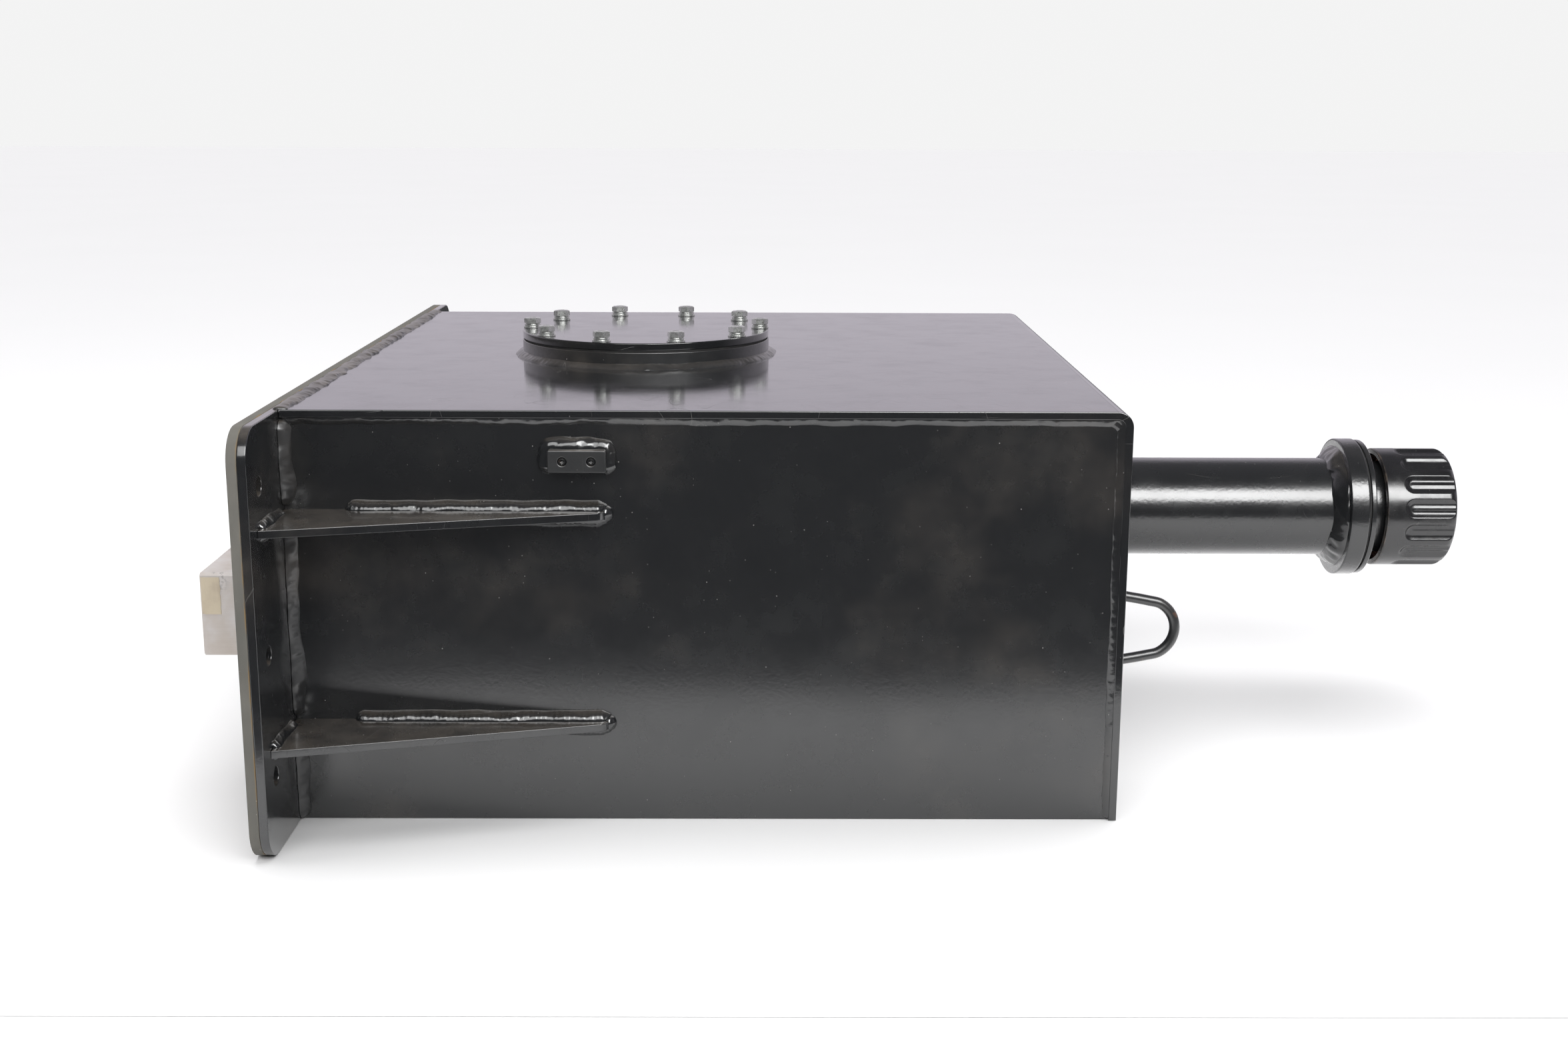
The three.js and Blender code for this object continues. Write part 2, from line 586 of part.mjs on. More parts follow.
function sensorPad() {
  const { x, z, width, height, front } = SENSOR_PAD;
  const outlineShape = roundedRectangle(x - width / 2, x + width / 2, z - height / 2, z + height / 2, 1.5);
  const body = extrudeY(outlineShape, front, FRONT_FACE - ROOT_GAP, 2);
  const hole = () => alongY(discProfile(-1, PAD_PLUG.depth, PAD_PLUG.thread / 2), SIDES.screw);
  return cut(body, ...padHoles.map((holeX) => hole().translate(holeX, front, z)));
}

// Threaded plug with a hexagon socket, a little below the pad's face.
function padPlug() {
  const [recess, socket] = [1.2, 1.8];
  const body = alongY(discProfile(recess, PAD_PLUG.depth - ROOT_GAP, PAD_PLUG.plug / 2), SIDES.screw);
  return cut(body, alongY(discProfile(0, recess + 3, socket), 6));
}

place(reservoir, "sensor_pad", sensorPad(), blackPaint());
["pad_plug_left", "pad_plug_right"].forEach((name, i) => {
  place(reservoir, name, padPlug(), blackPaint(), [padHoles[i], SENSOR_PAD.front, SENSOR_PAD.z]);
});

// ---------------------------------------------------------------- port block

// Machined block behind the pad, with chamfered long edges and two through bores.
function portBlock() {
  const { depth, height, y, z, chamfer } = BLOCK;
  const [y0, y1, z0, z1] = [y - depth / 2, y + depth / 2, z - height / 2, z + height / 2];
  const shape = outline([
    [y0 + chamfer, z0], [y1 - chamfer, z0], [y1, z0 + chamfer], [y1, z1 - chamfer],
    [y1 - chamfer, z1], [y0 + chamfer, z1], [y0, z1 - chamfer], [y0, z0 + chamfer],
  ]);
  const bores = Object.values(PORTS).flatMap(({ y: portY, bore }) => [
    drillX(BLOCK_BACK - 1, MOUNT_BACK + 1, bore / 2, portY, z, SIDES.port),
    drillX(BLOCK_BACK - 1, BLOCK_BACK + COUNTERBORE.depth, bore / 2 + COUNTERBORE.step, portY, z, SIDES.port),
  ]);
  return cut(extrudeX(shape, BLOCK_BACK, MOUNT_BACK - SEAT), ...bores);
}

place(reservoir, "port_block", portBlock(), bareSteel());

// ---------------------------------------------------------------- inside the tank

// Bottle-shaped fitting on a port: an open neck, a shoulder, and a closed far end.
function portBottle(bore, bodyRadius, bodyLength) {
  const { neck: neckLength, wall } = BOTTLE;
  const neckOuter = bore / 2 + BOTTLE.step;
  const end = neckLength + bodyLength;
  return turnedX([
    [ROOT_GAP, bore / 2], [ROOT_GAP, neckOuter], [neckLength, neckOuter], [neckLength, bodyRadius],
    [end, bodyRadius], [end, 0], [end - wall, 0], [end - wall, bodyRadius - wall],
    [neckLength + wall, bodyRadius - wall], [neckLength + wall, bore / 2], [ROOT_GAP, bore / 2],
  ], SIDES.port);
}

const suctionStrainer = () =>
  portBottle(PORTS.suction.bore, SUCTION_STRAINER.radius, SUCTION_STRAINER.length);

// A row of slots on either side lets the returning oil out.
function returnDiffuser() {
  const { radius, length, slots, first, slotLength, pitch, slotWidth } = DIFFUSER;
  const cutters = Array.from({ length: slots }, (_, i) => {
    const x = first + pitch * i;
    return box([x, x + slotLength], [-radius - 1, radius + 1], [-slotWidth / 2, slotWidth / 2]);
  });
  return cut(portBottle(PORTS.return.bore, radius, length), ...cutters);
}

function bafflePlate() {
  const halfThickness = BAFFLE.thickness / 2;
  const y = [BAFFLE.y - halfThickness, BAFFLE.y + halfThickness];
  const plate = box([ROOT_GAP, BAFFLE.length], y, [TANK.plate + ROOT_GAP, BAFFLE.height]);
  const limber = LIMBER.starts.map((x) => box([x, x + LIMBER.size], [y[0] - 1, y[1] + 1], [0, LIMBER.size]));
  return cut(plate, ...limber);
}

const drainBoss = () =>
  turnedZ(ringProfile(0, DRAIN.bossHeight, DRAIN.plug / 2 + ROOT_GAP, DRAIN.boss / 2), SIDES.port);

// Plug with a hexagon socket, flush with the underside of the floor.
function drainPlug() {
  const body = turnedZ(discProfile(0.5, DRAIN.bossHeight - 2, DRAIN.plug / 2), SIDES.port);
  return cut(body, turnedZ(discProfile(-1, DRAIN.socketDepth, DRAIN.socket), 6));
}

const onPort = ({ y }) => [0, y, BLOCK.z];

place(reservoir, "suction_strainer", suctionStrainer(), zinc(), onPort(PORTS.suction));
place(reservoir, "return_diffuser", returnDiffuser(), zinc(), onPort(PORTS.return));
place(reservoir, "baffle_plate", bafflePlate(), blackPaint());
place(reservoir, "drain_boss", drainBoss(), blackPaint(), [DRAIN.x, 0, 0]);
place(reservoir, "drain_plug", drainPlug(), zinc(), [DRAIN.x, 0, 0]);

export default reservoir;
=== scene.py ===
from collections import namedtuple
from functools import partial
from math import cos, degrees, hypot, pi, radians, sin, sqrt, tan

import bpy
from mathutils import Matrix, Vector, geometry, noise

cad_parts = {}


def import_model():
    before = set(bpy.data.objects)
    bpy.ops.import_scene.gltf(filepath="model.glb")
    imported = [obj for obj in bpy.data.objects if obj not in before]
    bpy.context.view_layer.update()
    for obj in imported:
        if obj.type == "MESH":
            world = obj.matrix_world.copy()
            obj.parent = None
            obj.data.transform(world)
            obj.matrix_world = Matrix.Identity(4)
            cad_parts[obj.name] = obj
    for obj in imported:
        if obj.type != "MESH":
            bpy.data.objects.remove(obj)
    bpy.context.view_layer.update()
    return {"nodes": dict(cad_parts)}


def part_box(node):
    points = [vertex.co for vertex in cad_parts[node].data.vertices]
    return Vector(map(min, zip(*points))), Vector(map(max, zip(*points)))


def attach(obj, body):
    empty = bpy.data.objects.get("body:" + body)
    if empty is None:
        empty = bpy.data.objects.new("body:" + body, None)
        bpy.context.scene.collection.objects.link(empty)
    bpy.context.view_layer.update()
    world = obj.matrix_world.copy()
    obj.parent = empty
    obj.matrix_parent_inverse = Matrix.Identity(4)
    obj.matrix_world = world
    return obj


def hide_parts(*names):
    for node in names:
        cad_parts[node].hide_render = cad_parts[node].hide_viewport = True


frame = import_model()

MM = 0.001
PLATE_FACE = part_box("mounting_plate")[1].x

# ---- places, in millimetres
# Lengths are in millimetres in the geometry, and in metres in the materials, lights and camera.
# X = 0 is the mounting plate's inner face, Y = 0 is the tank's middle and Z = 0 is the ground.
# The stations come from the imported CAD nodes.


def place(node):
    """A CAD node's lowest and highest corners."""
    shift = Vector((PLATE_FACE, 0, 0))
    return [(corner - shift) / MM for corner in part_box(node)]


def metres(point):
    return PLATE_FACE + point[0] * MM, point[1] * MM, point[2] * MM


TANK_LOW, TANK_HIGH = place("shell_wrap")
RIGHT, TOP, FRONT = TANK_HIGH.x, TANK_HIGH.z, TANK_LOW.y
FRONT_FACE = place("front_plate")[0].y
SHEET = 6
BEND = 12

MOUNT_LOW, MOUNT_HIGH = place("mounting_plate")
BLOCK_LOW, BLOCK_HIGH = place("port_block")
BLOCK_Z = (BLOCK_LOW.z + BLOCK_HIGH.z) / 2
PORTS = ((-247, 44), (-167, 36))  # each bore's Y and diameter

COVER_LOW, COVER_HIGH = place("access_cover")
RING_LOW, RING_HIGH = place("cover_flange_ring")
COVER_X = (COVER_LOW.x + COVER_HIGH.x) / 2
COVER_RADIUS = (COVER_HIGH.x - COVER_LOW.x) / 2
HAND_HOLE = (RING_HIGH.x - RING_LOW.x) / 2 - 30.5
BOLT_HEAD = 5.3

PIPE_LOW, PIPE_HIGH = place("filler_pipe")
FLANGE_LOW = place("filler_flange")[0]
NECK_LOW, NECK_HIGH = place("filler_neck")
CAP_LOW, CAP_HIGH = place("cap_shell")
FILLER_Z = (PIPE_LOW.z + PIPE_HIGH.z) / 2
PIPE_RADIUS = (PIPE_HIGH.z - PIPE_LOW.z) / 2
PIPE_WALL, PIPE_PLAY = 3.2, 0.3
CAP_RADIUS = (CAP_HIGH.y - CAP_LOW.y) / 2

SENSOR_LOW, SENSOR_HIGH = place("sensor_pad")
LOOP_LOW, LOOP_HIGH = place("tie_down_loop")
LOOP_Y = (LOOP_LOW.y + LOOP_HIGH.y) / 2
LOOP_FEET = (173.8, 122.2)  # the heights where the rod's two ends meet the tank
ROD_RADIUS = 4

# ---- mesh helpers


def new_object(name, data):
    obj = bpy.data.objects.new(name, data)
    bpy.context.scene.collection.objects.link(obj)
    return obj


def mesh_object(name, verts, faces, material, sharp=35):
    """A mesh from points in millimetres, shaded smooth up to an angle."""
    mesh = bpy.data.meshes.new(name)
    mesh.from_pydata([metres(v) for v in verts], [], faces)
    mesh.validate()
    mesh.shade_smooth()
    mesh.set_sharp_from_angle(angle=radians(sharp))
    mesh.materials.append(material)
    return new_object(name, mesh)


def turns(count):
    """The angles of a full turn in equal steps."""
    return [2 * pi * i / count for i in range(count)]


def wobble(*place):
    """Smooth noise at a place, between -1 and 1."""
    return noise.noise(Vector(place))


class Batch:
    """Several closed meshes that are shown as one piece."""

    def __init__(self):
        self.verts, self.faces = [], []

    def add(self, verts, faces):
        start = len(self.verts)
        self.verts += [tuple(v) for v in verts]
        self.faces += [tuple(start + i for i in face) for face in faces]
        return self

    def piece(self, name, material, sharp=35):
        return mesh_object(name, self.verts, self.faces, material, sharp)


def carve(obj, cutters):
    """Cuts boolean cutters out of a piece and deletes them."""
    for cutter in cutters:
        boolean = obj.modifiers.new("carve", "BOOLEAN")
        boolean.operation, boolean.solver, boolean.object = "DIFFERENCE", "EXACT", cutter
    evaluated = obj.evaluated_get(bpy.context.evaluated_depsgraph_get())
    mesh = bpy.data.meshes.new_from_object(evaluated)
    obj.modifiers.clear()
    obj.data = mesh
    for cutter in cutters:
        bpy.data.objects.remove(cutter)
    return flatten(obj)


def flatten(obj):
    """Shades the faces that lie square to an axis flat, so a bevel's normals don't bend them."""
    for polygon in obj.data.polygons:
        if max(abs(n) for n in polygon.normal) > 0.99999:
            polygon.use_smooth = False
    return obj


def tube(rings, closed=False):
    """Joins equally long rings of points into a closed skin."""
    count, sides = len(rings), len(rings[0])
    verts = [point for ring in rings for point in ring]
    faces = []
    for i in range(count if closed else count - 1):
        here, there = i * sides, (i + 1) % count * sides
        for j in range(sides):
            k = (j + 1) % sides
            faces.append((here + j, here + k, there + k, there + j))
    if not closed:
        faces.append(tuple(reversed(range(sides))))
        faces.append(tuple((count - 1) * sides + j for j in range(sides)))
    return verts, faces


def soften(points, radius, closed=False, steps=4):
    """Rounds a polyline's corners, with a support point just before and after each arc."""
    result = []
    count = len(points)
    for i, corner in enumerate(points):
        corner = Vector(corner)
        if not closed and i in (0, count - 1):
            result.append(corner)
            continue
        before, after = Vector(points[i - 1]) - corner, Vector(points[(i + 1) % count]) - corner
        reach = min(radius, 0.4 * before.length, 0.4 * after.length)
        start, end = corner + before.normalized() * reach, corner + after.normalized() * reach
        result.append(start + before.normalized() * reach * 0.2)
        for step in range(steps + 1):
            t = step / steps
            result.append(start * (1 - t) ** 2 + corner * 2 * t * (1 - t) + end * t * t)
        result.append(end + after.normalized() * reach * 0.2)
    return [tuple(point) for point in result]


def spindle(rings):
    """Joins rings whose first and last points lie on the axis into a closed skin."""
    verts, faces = [rings[0][0], rings[0][-1]], []
    count, inner = len(rings), len(rings[0]) - 2
    for ring in rings:
        verts += ring[1:-1]
    at = lambda i, j: 2 + i % count * inner + j
    for i in range(count):
        faces += [(0, at(i + 1, 0), at(i, 0)), (1, at(i, inner - 1), at(i + 1, inner - 1))]
        faces += [(at(i, j), at(i + 1, j), at(i + 1, j + 1), at(i, j + 1)) for j in range(inner - 1)]
    return verts, faces


def lathe(profile, axis, centre, segments=128, closed=True):
    """Turns a profile of (station, radius) about X or Z. An open profile ends on the axis."""
    origin = Vector(centre)
    rings = []
    for angle in turns(segments):
        c, s = cos(angle), sin(angle)
        if axis == "X":
            rings.append([origin + Vector((a, r * c, r * s)) for a, r in profile])
        else:
            rings.append([origin + Vector((r * c, r * s, a)) for a, r in profile])
    return tube(rings, closed=True) if closed else spindle(rings)


def ring_profile(start, end, inner, outer, radius=0.8):
    return soften([(start, inner), (start, outer), (end, outer), (end, inner)], radius, closed=True)


def circle(u, v, radius, count=48):
    return [(u + radius * cos(a), v + radius * sin(a)) for a in turns(count)]


def rounded_outline(u0, u1, v0, v1, radius, steps=10):
    """A rectangle with round corners, anticlockwise."""
    points = []
    corners = ((u1, v0, -90), (u1, v1, 0), (u0, v1, 90), (u0, v0, 180))
    for u, v, start in corners:
        cu = u - radius if u == u1 else u + radius
        cv = v - radius if v == v1 else v + radius
        for step in range(steps + 1):
            angle = radians(start + 90 * step / steps)
            points.append((cu + radius * cos(angle), cv + radius * sin(angle)))
    return points


def area(loop):
    return sum(a[0] * b[1] - b[0] * a[1] for a, b in zip(loop, loop[1:] + loop[:1])) / 2


def shifted(loop, distance):
    """A loop moved to its left by a small distance."""
    result = []
    for i, point in enumerate(loop):
        here = Vector(point)
        before = (here - Vector(loop[i - 1])).normalized()
        after = (Vector(loop[(i + 1) % len(loop)]) - here).normalized()
        normal = Vector((-before.y - after.y, before.x + after.x)).normalized()
        stretch = max(0.5, normal.dot(Vector((-before.y, before.x))))
        result.append(tuple(here + normal * distance / stretch))
    return result


def slab(name, loops, axis, low, high, material, bevel=0.5, steps=3):
    """A plate with bevelled edges: an outline and its holes, thickened along an axis."""
    loops = [loop if (area(loop) > 0) == (i == 0) else loop[::-1] for i, loop in enumerate(loops)]
    levels = []
    for step in range(steps + 1):
        angle = pi / 2 * step / steps
        levels.append((bevel * (1 - sin(angle)), low + bevel * (1 - cos(angle))))
    levels += [(inset, high + low - w) for inset, w in reversed(levels)]
    verts, faces, starts = [], [], []
    for inset, w in levels:
        starts.append(len(verts))
        for loop in loops:
            verts += [(u, v, w) for u, v in shifted(loop, inset)]
    offsets = [sum(len(loop) for loop in loops[:i]) for i in range(len(loops))]
    for here, there in zip(starts, starts[1:]):
        for loop, offset in zip(loops, offsets):
            for j in range(len(loop)):
                k = (j + 1) % len(loop)
                faces.append((here + offset + j, here + offset + k, there + offset + k, there + offset + j))
    ends = [[Vector((u, v, 0)) for u, v in shifted(loop, bevel)] for loop in loops]
    for a, b, c in geometry.tessellate_polygon(ends):
        turn = (Vector(verts[b]) - Vector(verts[a])).cross(Vector(verts[c]) - Vector(verts[a])).z
        if turn < 0:
            b, c = c, b
        faces.append((starts[-1] + a, starts[-1] + b, starts[-1] + c))
        faces.append((a, c, b))
    order = {"X": (2, 0, 1), "Y": (0, 2, 1), "Z": (0, 1, 2)}[axis]
    if axis == "Y":
        faces = [face[::-1] for face in faces]
    return flatten(mesh_object(name, [tuple(v[i] for i in order) for v in verts], faces, material))


# ---- weld beads

Leg = namedtuple("Leg", "corner along up")


def bead(batch, legs, size_along, size_up, pitch=5, ripple=0.05, lump=0.3, bulge=1.5,
         closed=False, seed=0, spacing=1.2, sides=8):
    """A rippled weld bead in the corner between two surfaces.

    legs lists the corner's points, each with the directions in which the two surfaces leave it.
    """
    if closed:
        legs = legs + legs[:1]
    samples, run = [], 0
    for a, b in zip(legs, legs[1:]):
        length = (b.corner - a.corner).length
        count = max(1, round(length / spacing))
        for i in range(count):
            t = i / count
            samples.append((run + length * t, a.corner.lerp(b.corner, t),
                            a.along.lerp(b.along, t).normalized(), a.up.lerp(b.up, t).normalized()))
        run += length
    if not closed:
        samples.append((run, legs[-1].corner, legs[-1].along, legs[-1].up))
    rings = []
    for distance, corner, along, up in samples:
        end = min(distance, run - distance)
        taper = 1 if closed else min(1, 0.35 + 0.65 * sqrt(max(0, end) / (0.8 * size_up)))
        wander = [1 + lump * wobble(distance * 0.06, seed * 3.7 + k * 11.3, 0.4) for k in (0, 1)]
        ring = [corner - (along + up) * 0.5]
        for j in range(sides + 1):
            t = j / sides
            phase = (distance + pitch * 1.6 * (t - 0.5) ** 2) / pitch + 0.35 * wobble(distance * 0.11, seed, 2.5)
            scallop = 1 - (phase % 1) ** 2
            lumps = wobble(distance * 0.16, t * 2.2, seed * 5.1 + 9)
            swell = 1 + sin(pi * t) * (ripple * (scallop - 0.6) + 0.5 * lump * lumps)
            reach_along = size_along * wander[0] * taper * swell * cos(pi / 2 * t) ** bulge
            reach_up = size_up * wander[1] * taper * swell * sin(pi / 2 * t) ** bulge
            ring.append(corner + along * reach_along + up * reach_up)
        rings.append(ring)
    batch.add(*tube(rings, closed))


def legs_at(along, up, *points):
    """Legs at points that share their two directions."""
    return [Leg(Vector(point), along, up) for point in points]


def ring_legs(axis, centre, radius, along, count=96):
    """Legs round a circle: one surface runs along the axis, the other outwards."""
    legs = []
    for angle in turns(count):
        c, s = cos(angle), sin(angle)
        out = Vector((0, c, s)) if axis == "X" else Vector((c, s, 0))
        legs.append(Leg(Vector(centre) + out * radius, Vector(along), out))
    return legs


# ---- material helpers


def add_node(tree, kind, inputs=None, output=0, **properties):
    """Adds a shader node, links or sets its inputs, and returns one of its outputs."""
    node = tree.nodes.new("ShaderNode" + kind)
    for key, value in properties.items():
        setattr(node, key, value)
    for key, value in (inputs or {}).items():
        if isinstance(value, bpy.types.NodeSocket):
            tree.links.new(value, node.inputs[key])
        else:
            node.inputs[key].default_value = value
    return node.outputs[output]


class Finish:
    """A principled material and short calls for the nodes that drive it."""

    def __init__(self, name, **constants):
        self.material = bpy.data.materials.new(name)
        self.material.use_nodes = True
        self.tree = self.material.node_tree
        self.shader = self.tree.nodes["Principled BSDF"]
        for socket, value in constants.items():
            self.shader.inputs[socket.replace("_", " ")].default_value = value
        self.add = partial(add_node, self.tree)
        self.coordinates = self.add("TexCoord", output="Object")

    def mapped(self, scale=(1, 1, 1), turn=(0, 0, 0), move=(0, 0, 0)):
        return self.add("Mapping", {"Vector": self.coordinates, "Scale": scale, "Rotation": turn,
                                    "Location": move})

    def noise(self, scale, detail, rough=0.5, vector=None):
        return self.add("TexNoise", {"Vector": vector or self.coordinates, "Scale": scale, "Detail": detail,
                                     "Roughness": rough})

    def remap(self, value, low, high, to_low=0.0, to_high=1.0):
        return self.add("MapRange", {"Value": value, "From Min": low, "From Max": high, "To Min": to_low,
                                     "To Max": to_high}, interpolation_type="SMOOTHSTEP")

    def cloud(self, pattern, low, high, to_low=0.0, to_high=1.0):
        return self.remap(self.noise(*pattern), low, high, to_low, to_high)

    def math(self, operation, a, b=0.0):
        return self.add("Math", {0: a, 1: b}, operation=operation)

    def times(self, a, b):
        return self.math("MULTIPLY", a, b)

    def mix(self, factor, a, b):
        return self.add("Mix", {0: factor, 6: a, 7: b}, output=2, data_type="RGBA")

    def band(self, axis, low, high, soft):
        """1 between two object coordinates, in metres, with soft ends."""
        value = self.add("SeparateXYZ", {0: self.coordinates}, output=axis)
        rise = self.remap(value, low - soft, low + soft)
        return self.times(rise, self.remap(value, high - soft, high + soft, 1, 0))

    def specks(self, scale, size, share, move=(0, 0, 0)):
        """Small round spots on a share of a voronoi pattern's cells."""
        cells = self.add("TexVoronoi", {"Vector": self.mapped(move=move), "Scale": scale}).node.outputs
        chosen = self.remap(self.add("SeparateColor", {0: cells["Color"]}), 1 - share, 1.001 - share)
        return self.times(chosen, self.remap(cells["Distance"], size * 0.5, size, 1, 0))

    def scratches(self, scale, width, turn, stretch):
        """Broken hairlines, where a stretched noise crosses its middle value."""
        vector = self.mapped(scale=stretch, turn=turn)
        level = self.math("ABSOLUTE", self.math("SUBTRACT", self.noise(scale, 1, vector=vector), 0.5))
        line = self.remap(level, 0, width, 1, 0)
        return self.times(line, self.remap(self.noise(scale * 2.3, 2), 0.52, 0.62))

    def bump(self, height, distance, normal=None):
        inputs = {"Height": height, "Distance": distance, "Strength": 1.0}
        if normal:
            inputs["Normal"] = normal
        return self.add("Bump", inputs)

    def set(self, socket, value):
        self.tree.links.new(value, self.shader.inputs[socket])
        return self


BLACK = (0.0120, 0.0128, 0.0138, 1)
DUST = (0.42, 0.40, 0.38, 1)
HAZE = (0.11, 0.095, 0.08, 1)
RUST = (0.16, 0.07, 0.035, 1)


def gloss_paint(name, dust, haze, top_dust_and_sheen, wave, peel, rough, gloss, hairs, chips):
    """Thick black gloss paint: haze, dust specks, hairlines, orange peel, settled dust with a painted sheen on
    up-facing faces, and rusty chips.

    wave and peel are bump heights in mm, rough is the base's range and gloss the coat's roughness.
    """
    paint = Finish(name, Base_Color=BLACK, IOR=1.5, Coat_Weight=1.0, Coat_IOR=1.6, Coat_Roughness=gloss)
    cloud = paint.noise(7, 5, 0.6)
    specks = paint.math("MAXIMUM", paint.specks(110, 0.055, 0.30), paint.specks(260, 0.08, 0.12, (3, 1, 2)))
    lines = paint.math("MAXIMUM", paint.scratches(5, 0.001, (0.3, 0.5, 0.2), (1, 3, 2)),
                       paint.scratches(9, 0.0012, (1.1, 0.2, 0.9), (3, 1, 1)))
    colour = paint.mix(paint.remap(cloud, 0.5, 0.8, 0, haze), BLACK, HAZE)
    # Up-facing faces are tinted lighter: partly settled dust, partly a painted sheen for the brightness that
    # tops reflect.
    if top_dust_and_sheen:
        normal = paint.add("NewGeometry", output="Normal")
        level = paint.remap(paint.add("SeparateXYZ", {0: normal}, output="Z"), 0.5, 1)
        patchy = paint.cloud((35, 5, 0.65), 0.3, 0.7, 0.3, top_dust_and_sheen)
        colour = paint.mix(paint.times(level, patchy), colour, HAZE)
    colour = paint.mix(paint.times(lines, hairs), colour, DUST)
    if chips:
        worn = paint.cloud((60, 4, 0.65), 0.62, 0.68, 0, chips)
        colour = paint.mix(worn, colour, RUST)
    colour = paint.mix(paint.times(specks, dust * 2.4), colour, DUST)
    paint.set("Base Color", colour)
    rough_map = paint.cloud((22, 5, 0.65), 0.3, 0.8, *rough)
    paint.set("Roughness", paint.math("ADD", rough_map, paint.times(specks, 0.5)))
    normal = paint.bump(paint.noise(4.5, 1), wave * MM)
    normal = paint.bump(paint.noise(330, 2), peel * MM, normal)
    normal = paint.bump(specks, 0.0002, normal)
    normal = paint.bump(lines, 0.0003 * hairs, normal)
    return paint.set("Normal", normal).set("Coat Normal", normal).material


def mottled(name, spots, limits, colours, rough, grain, depth, stretch=(1, 1, 1), **constants):
    """Two colours mixed by a noise, with a noise for the roughness and one for the grain."""
    surface = Finish(name, **constants)
    surface.set("Base Color", surface.mix(surface.cloud(spots, *limits), *colours))
    if rough:
        pattern, smoothest, roughest = rough
        surface.set("Roughness", surface.cloud(pattern, 0.3, 0.7, smoothest, roughest))
    surface.set("Normal", surface.bump(surface.noise(*grain, vector=surface.mapped(stretch)), depth))
    return surface.material


def pad_board():
    """Matte olive-grey backing with a rusty yellow line where it meets the gloss plate."""
    board = Finish("pad_board", Roughness=0.8)
    grain = board.noise(45, 5, 0.6, vector=board.mapped(scale=(1, 1, 0.6)))
    colour = board.mix(board.remap(grain, 0.3, 0.75), (0.105, 0.102, 0.089, 1), (0.140, 0.134, 0.118, 1))
    seam = board.band("X", PLATE_FACE - 0.0074, PLATE_FACE - 0.006, 0.0004)
    broken = board.times(seam, board.cloud((38, 4), 0.42, 0.66, 0.05, 0.9))
    colour = board.mix(broken, colour, (0.20, 0.13, 0.055, 1))
    colour = board.mix(board.specks(190, 0.07, 0.2), colour, DUST)
    board.set("Base Color", colour)
    board.set("Roughness", board.remap(grain, 0.3, 0.7, 0.6, 0.85))
    board.set("Normal", board.bump(grain, 0.0002))
    return board.material


def ground_steel():
    """Pale ground steel: fine lay along the block, soft brown stains, grey smudges."""
    steel = Finish("ground_steel", Metallic=0.35)
    lay = steel.noise(900, 2, 0.5, vector=steel.mapped(scale=(0.03, 0.03, 1)))
    stain = steel.cloud((28, 4, 0.55), 0.35, 0.7)
    colour = steel.mix(stain, (0.70, 0.665, 0.65, 1), (0.60, 0.54, 0.49, 1))
    smudge = steel.times(steel.cloud((120, 4, 0.7), 0.54, 0.62),
                        steel.cloud((19, 1), 0.45, 0.6))
    steel.set("Base Color", steel.mix(smudge, colour, (0.25, 0.23, 0.22, 1)))
    steel.set("Roughness", steel.remap(lay, 0.3, 0.7, 0.42, 0.62))
    steel.set("Normal", steel.bump(lay, 0.00005))
    return steel.material


def moulded_plastic():
    """Satin black plastic with a fine grain, scuffs, and paler worn rims."""
    plastic = Finish("moulded_plastic", IOR=1.55, Specular_IOR_Level=0.9)
    grain = plastic.noise(900, 2)
    scuff = plastic.times(plastic.cloud((160, 5, 0.7), 0.58, 0.7),
                         plastic.cloud((30, 2), 0.5, 0.65))
    specks = plastic.specks(300, 0.09, 0.22)
    colour = plastic.mix(plastic.times(scuff, 0.5), (0.010, 0.010, 0.011, 1), (0.10, 0.095, 0.09, 1))
    colour = plastic.mix(plastic.times(specks, 0.5), colour, DUST)
    rim = plastic.band("X", PLATE_FACE + CAP_LOW.x * MM - 0.001, PLATE_FACE + CAP_LOW.x * MM + 0.0012, 0.0004)
    rim = plastic.times(rim, plastic.cloud((90, 3), 0.4, 0.6, 0.1, 0.7))
    plastic.set("Base Color", plastic.mix(rim, colour, (0.09, 0.07, 0.055, 1)))
    plastic.set("Roughness", plastic.cloud((70, 4), 0.3, 0.75, 0.2, 0.3))
    plastic.set("Normal", plastic.bump(grain, 0.00003, plastic.bump(plastic.noise(40, 2), 0.0003)))
    return plastic.material


def copper_tone():
    copper = Finish("copper_tone", Metallic=0.8)
    tarnish = copper.cloud((120, 4), 0.35, 0.65)
    copper.set("Base Color", copper.mix(tarnish, (0.48, 0.20, 0.11, 1), (0.12, 0.06, 0.04, 1)))
    copper.set("Roughness", copper.remap(tarnish, 0, 1, 0.3, 0.6))
    return copper.material


def filter_paper():
    paper = Finish("filter_paper", Roughness=0.95)
    fibre = paper.noise(700, 3)
    paper.set("Base Color", paper.mix(fibre, (0.50, 0.42, 0.25, 1), (0.38, 0.31, 0.18, 1)))
    paper.set("Normal", paper.bump(fibre, 0.00008))
    return paper.material
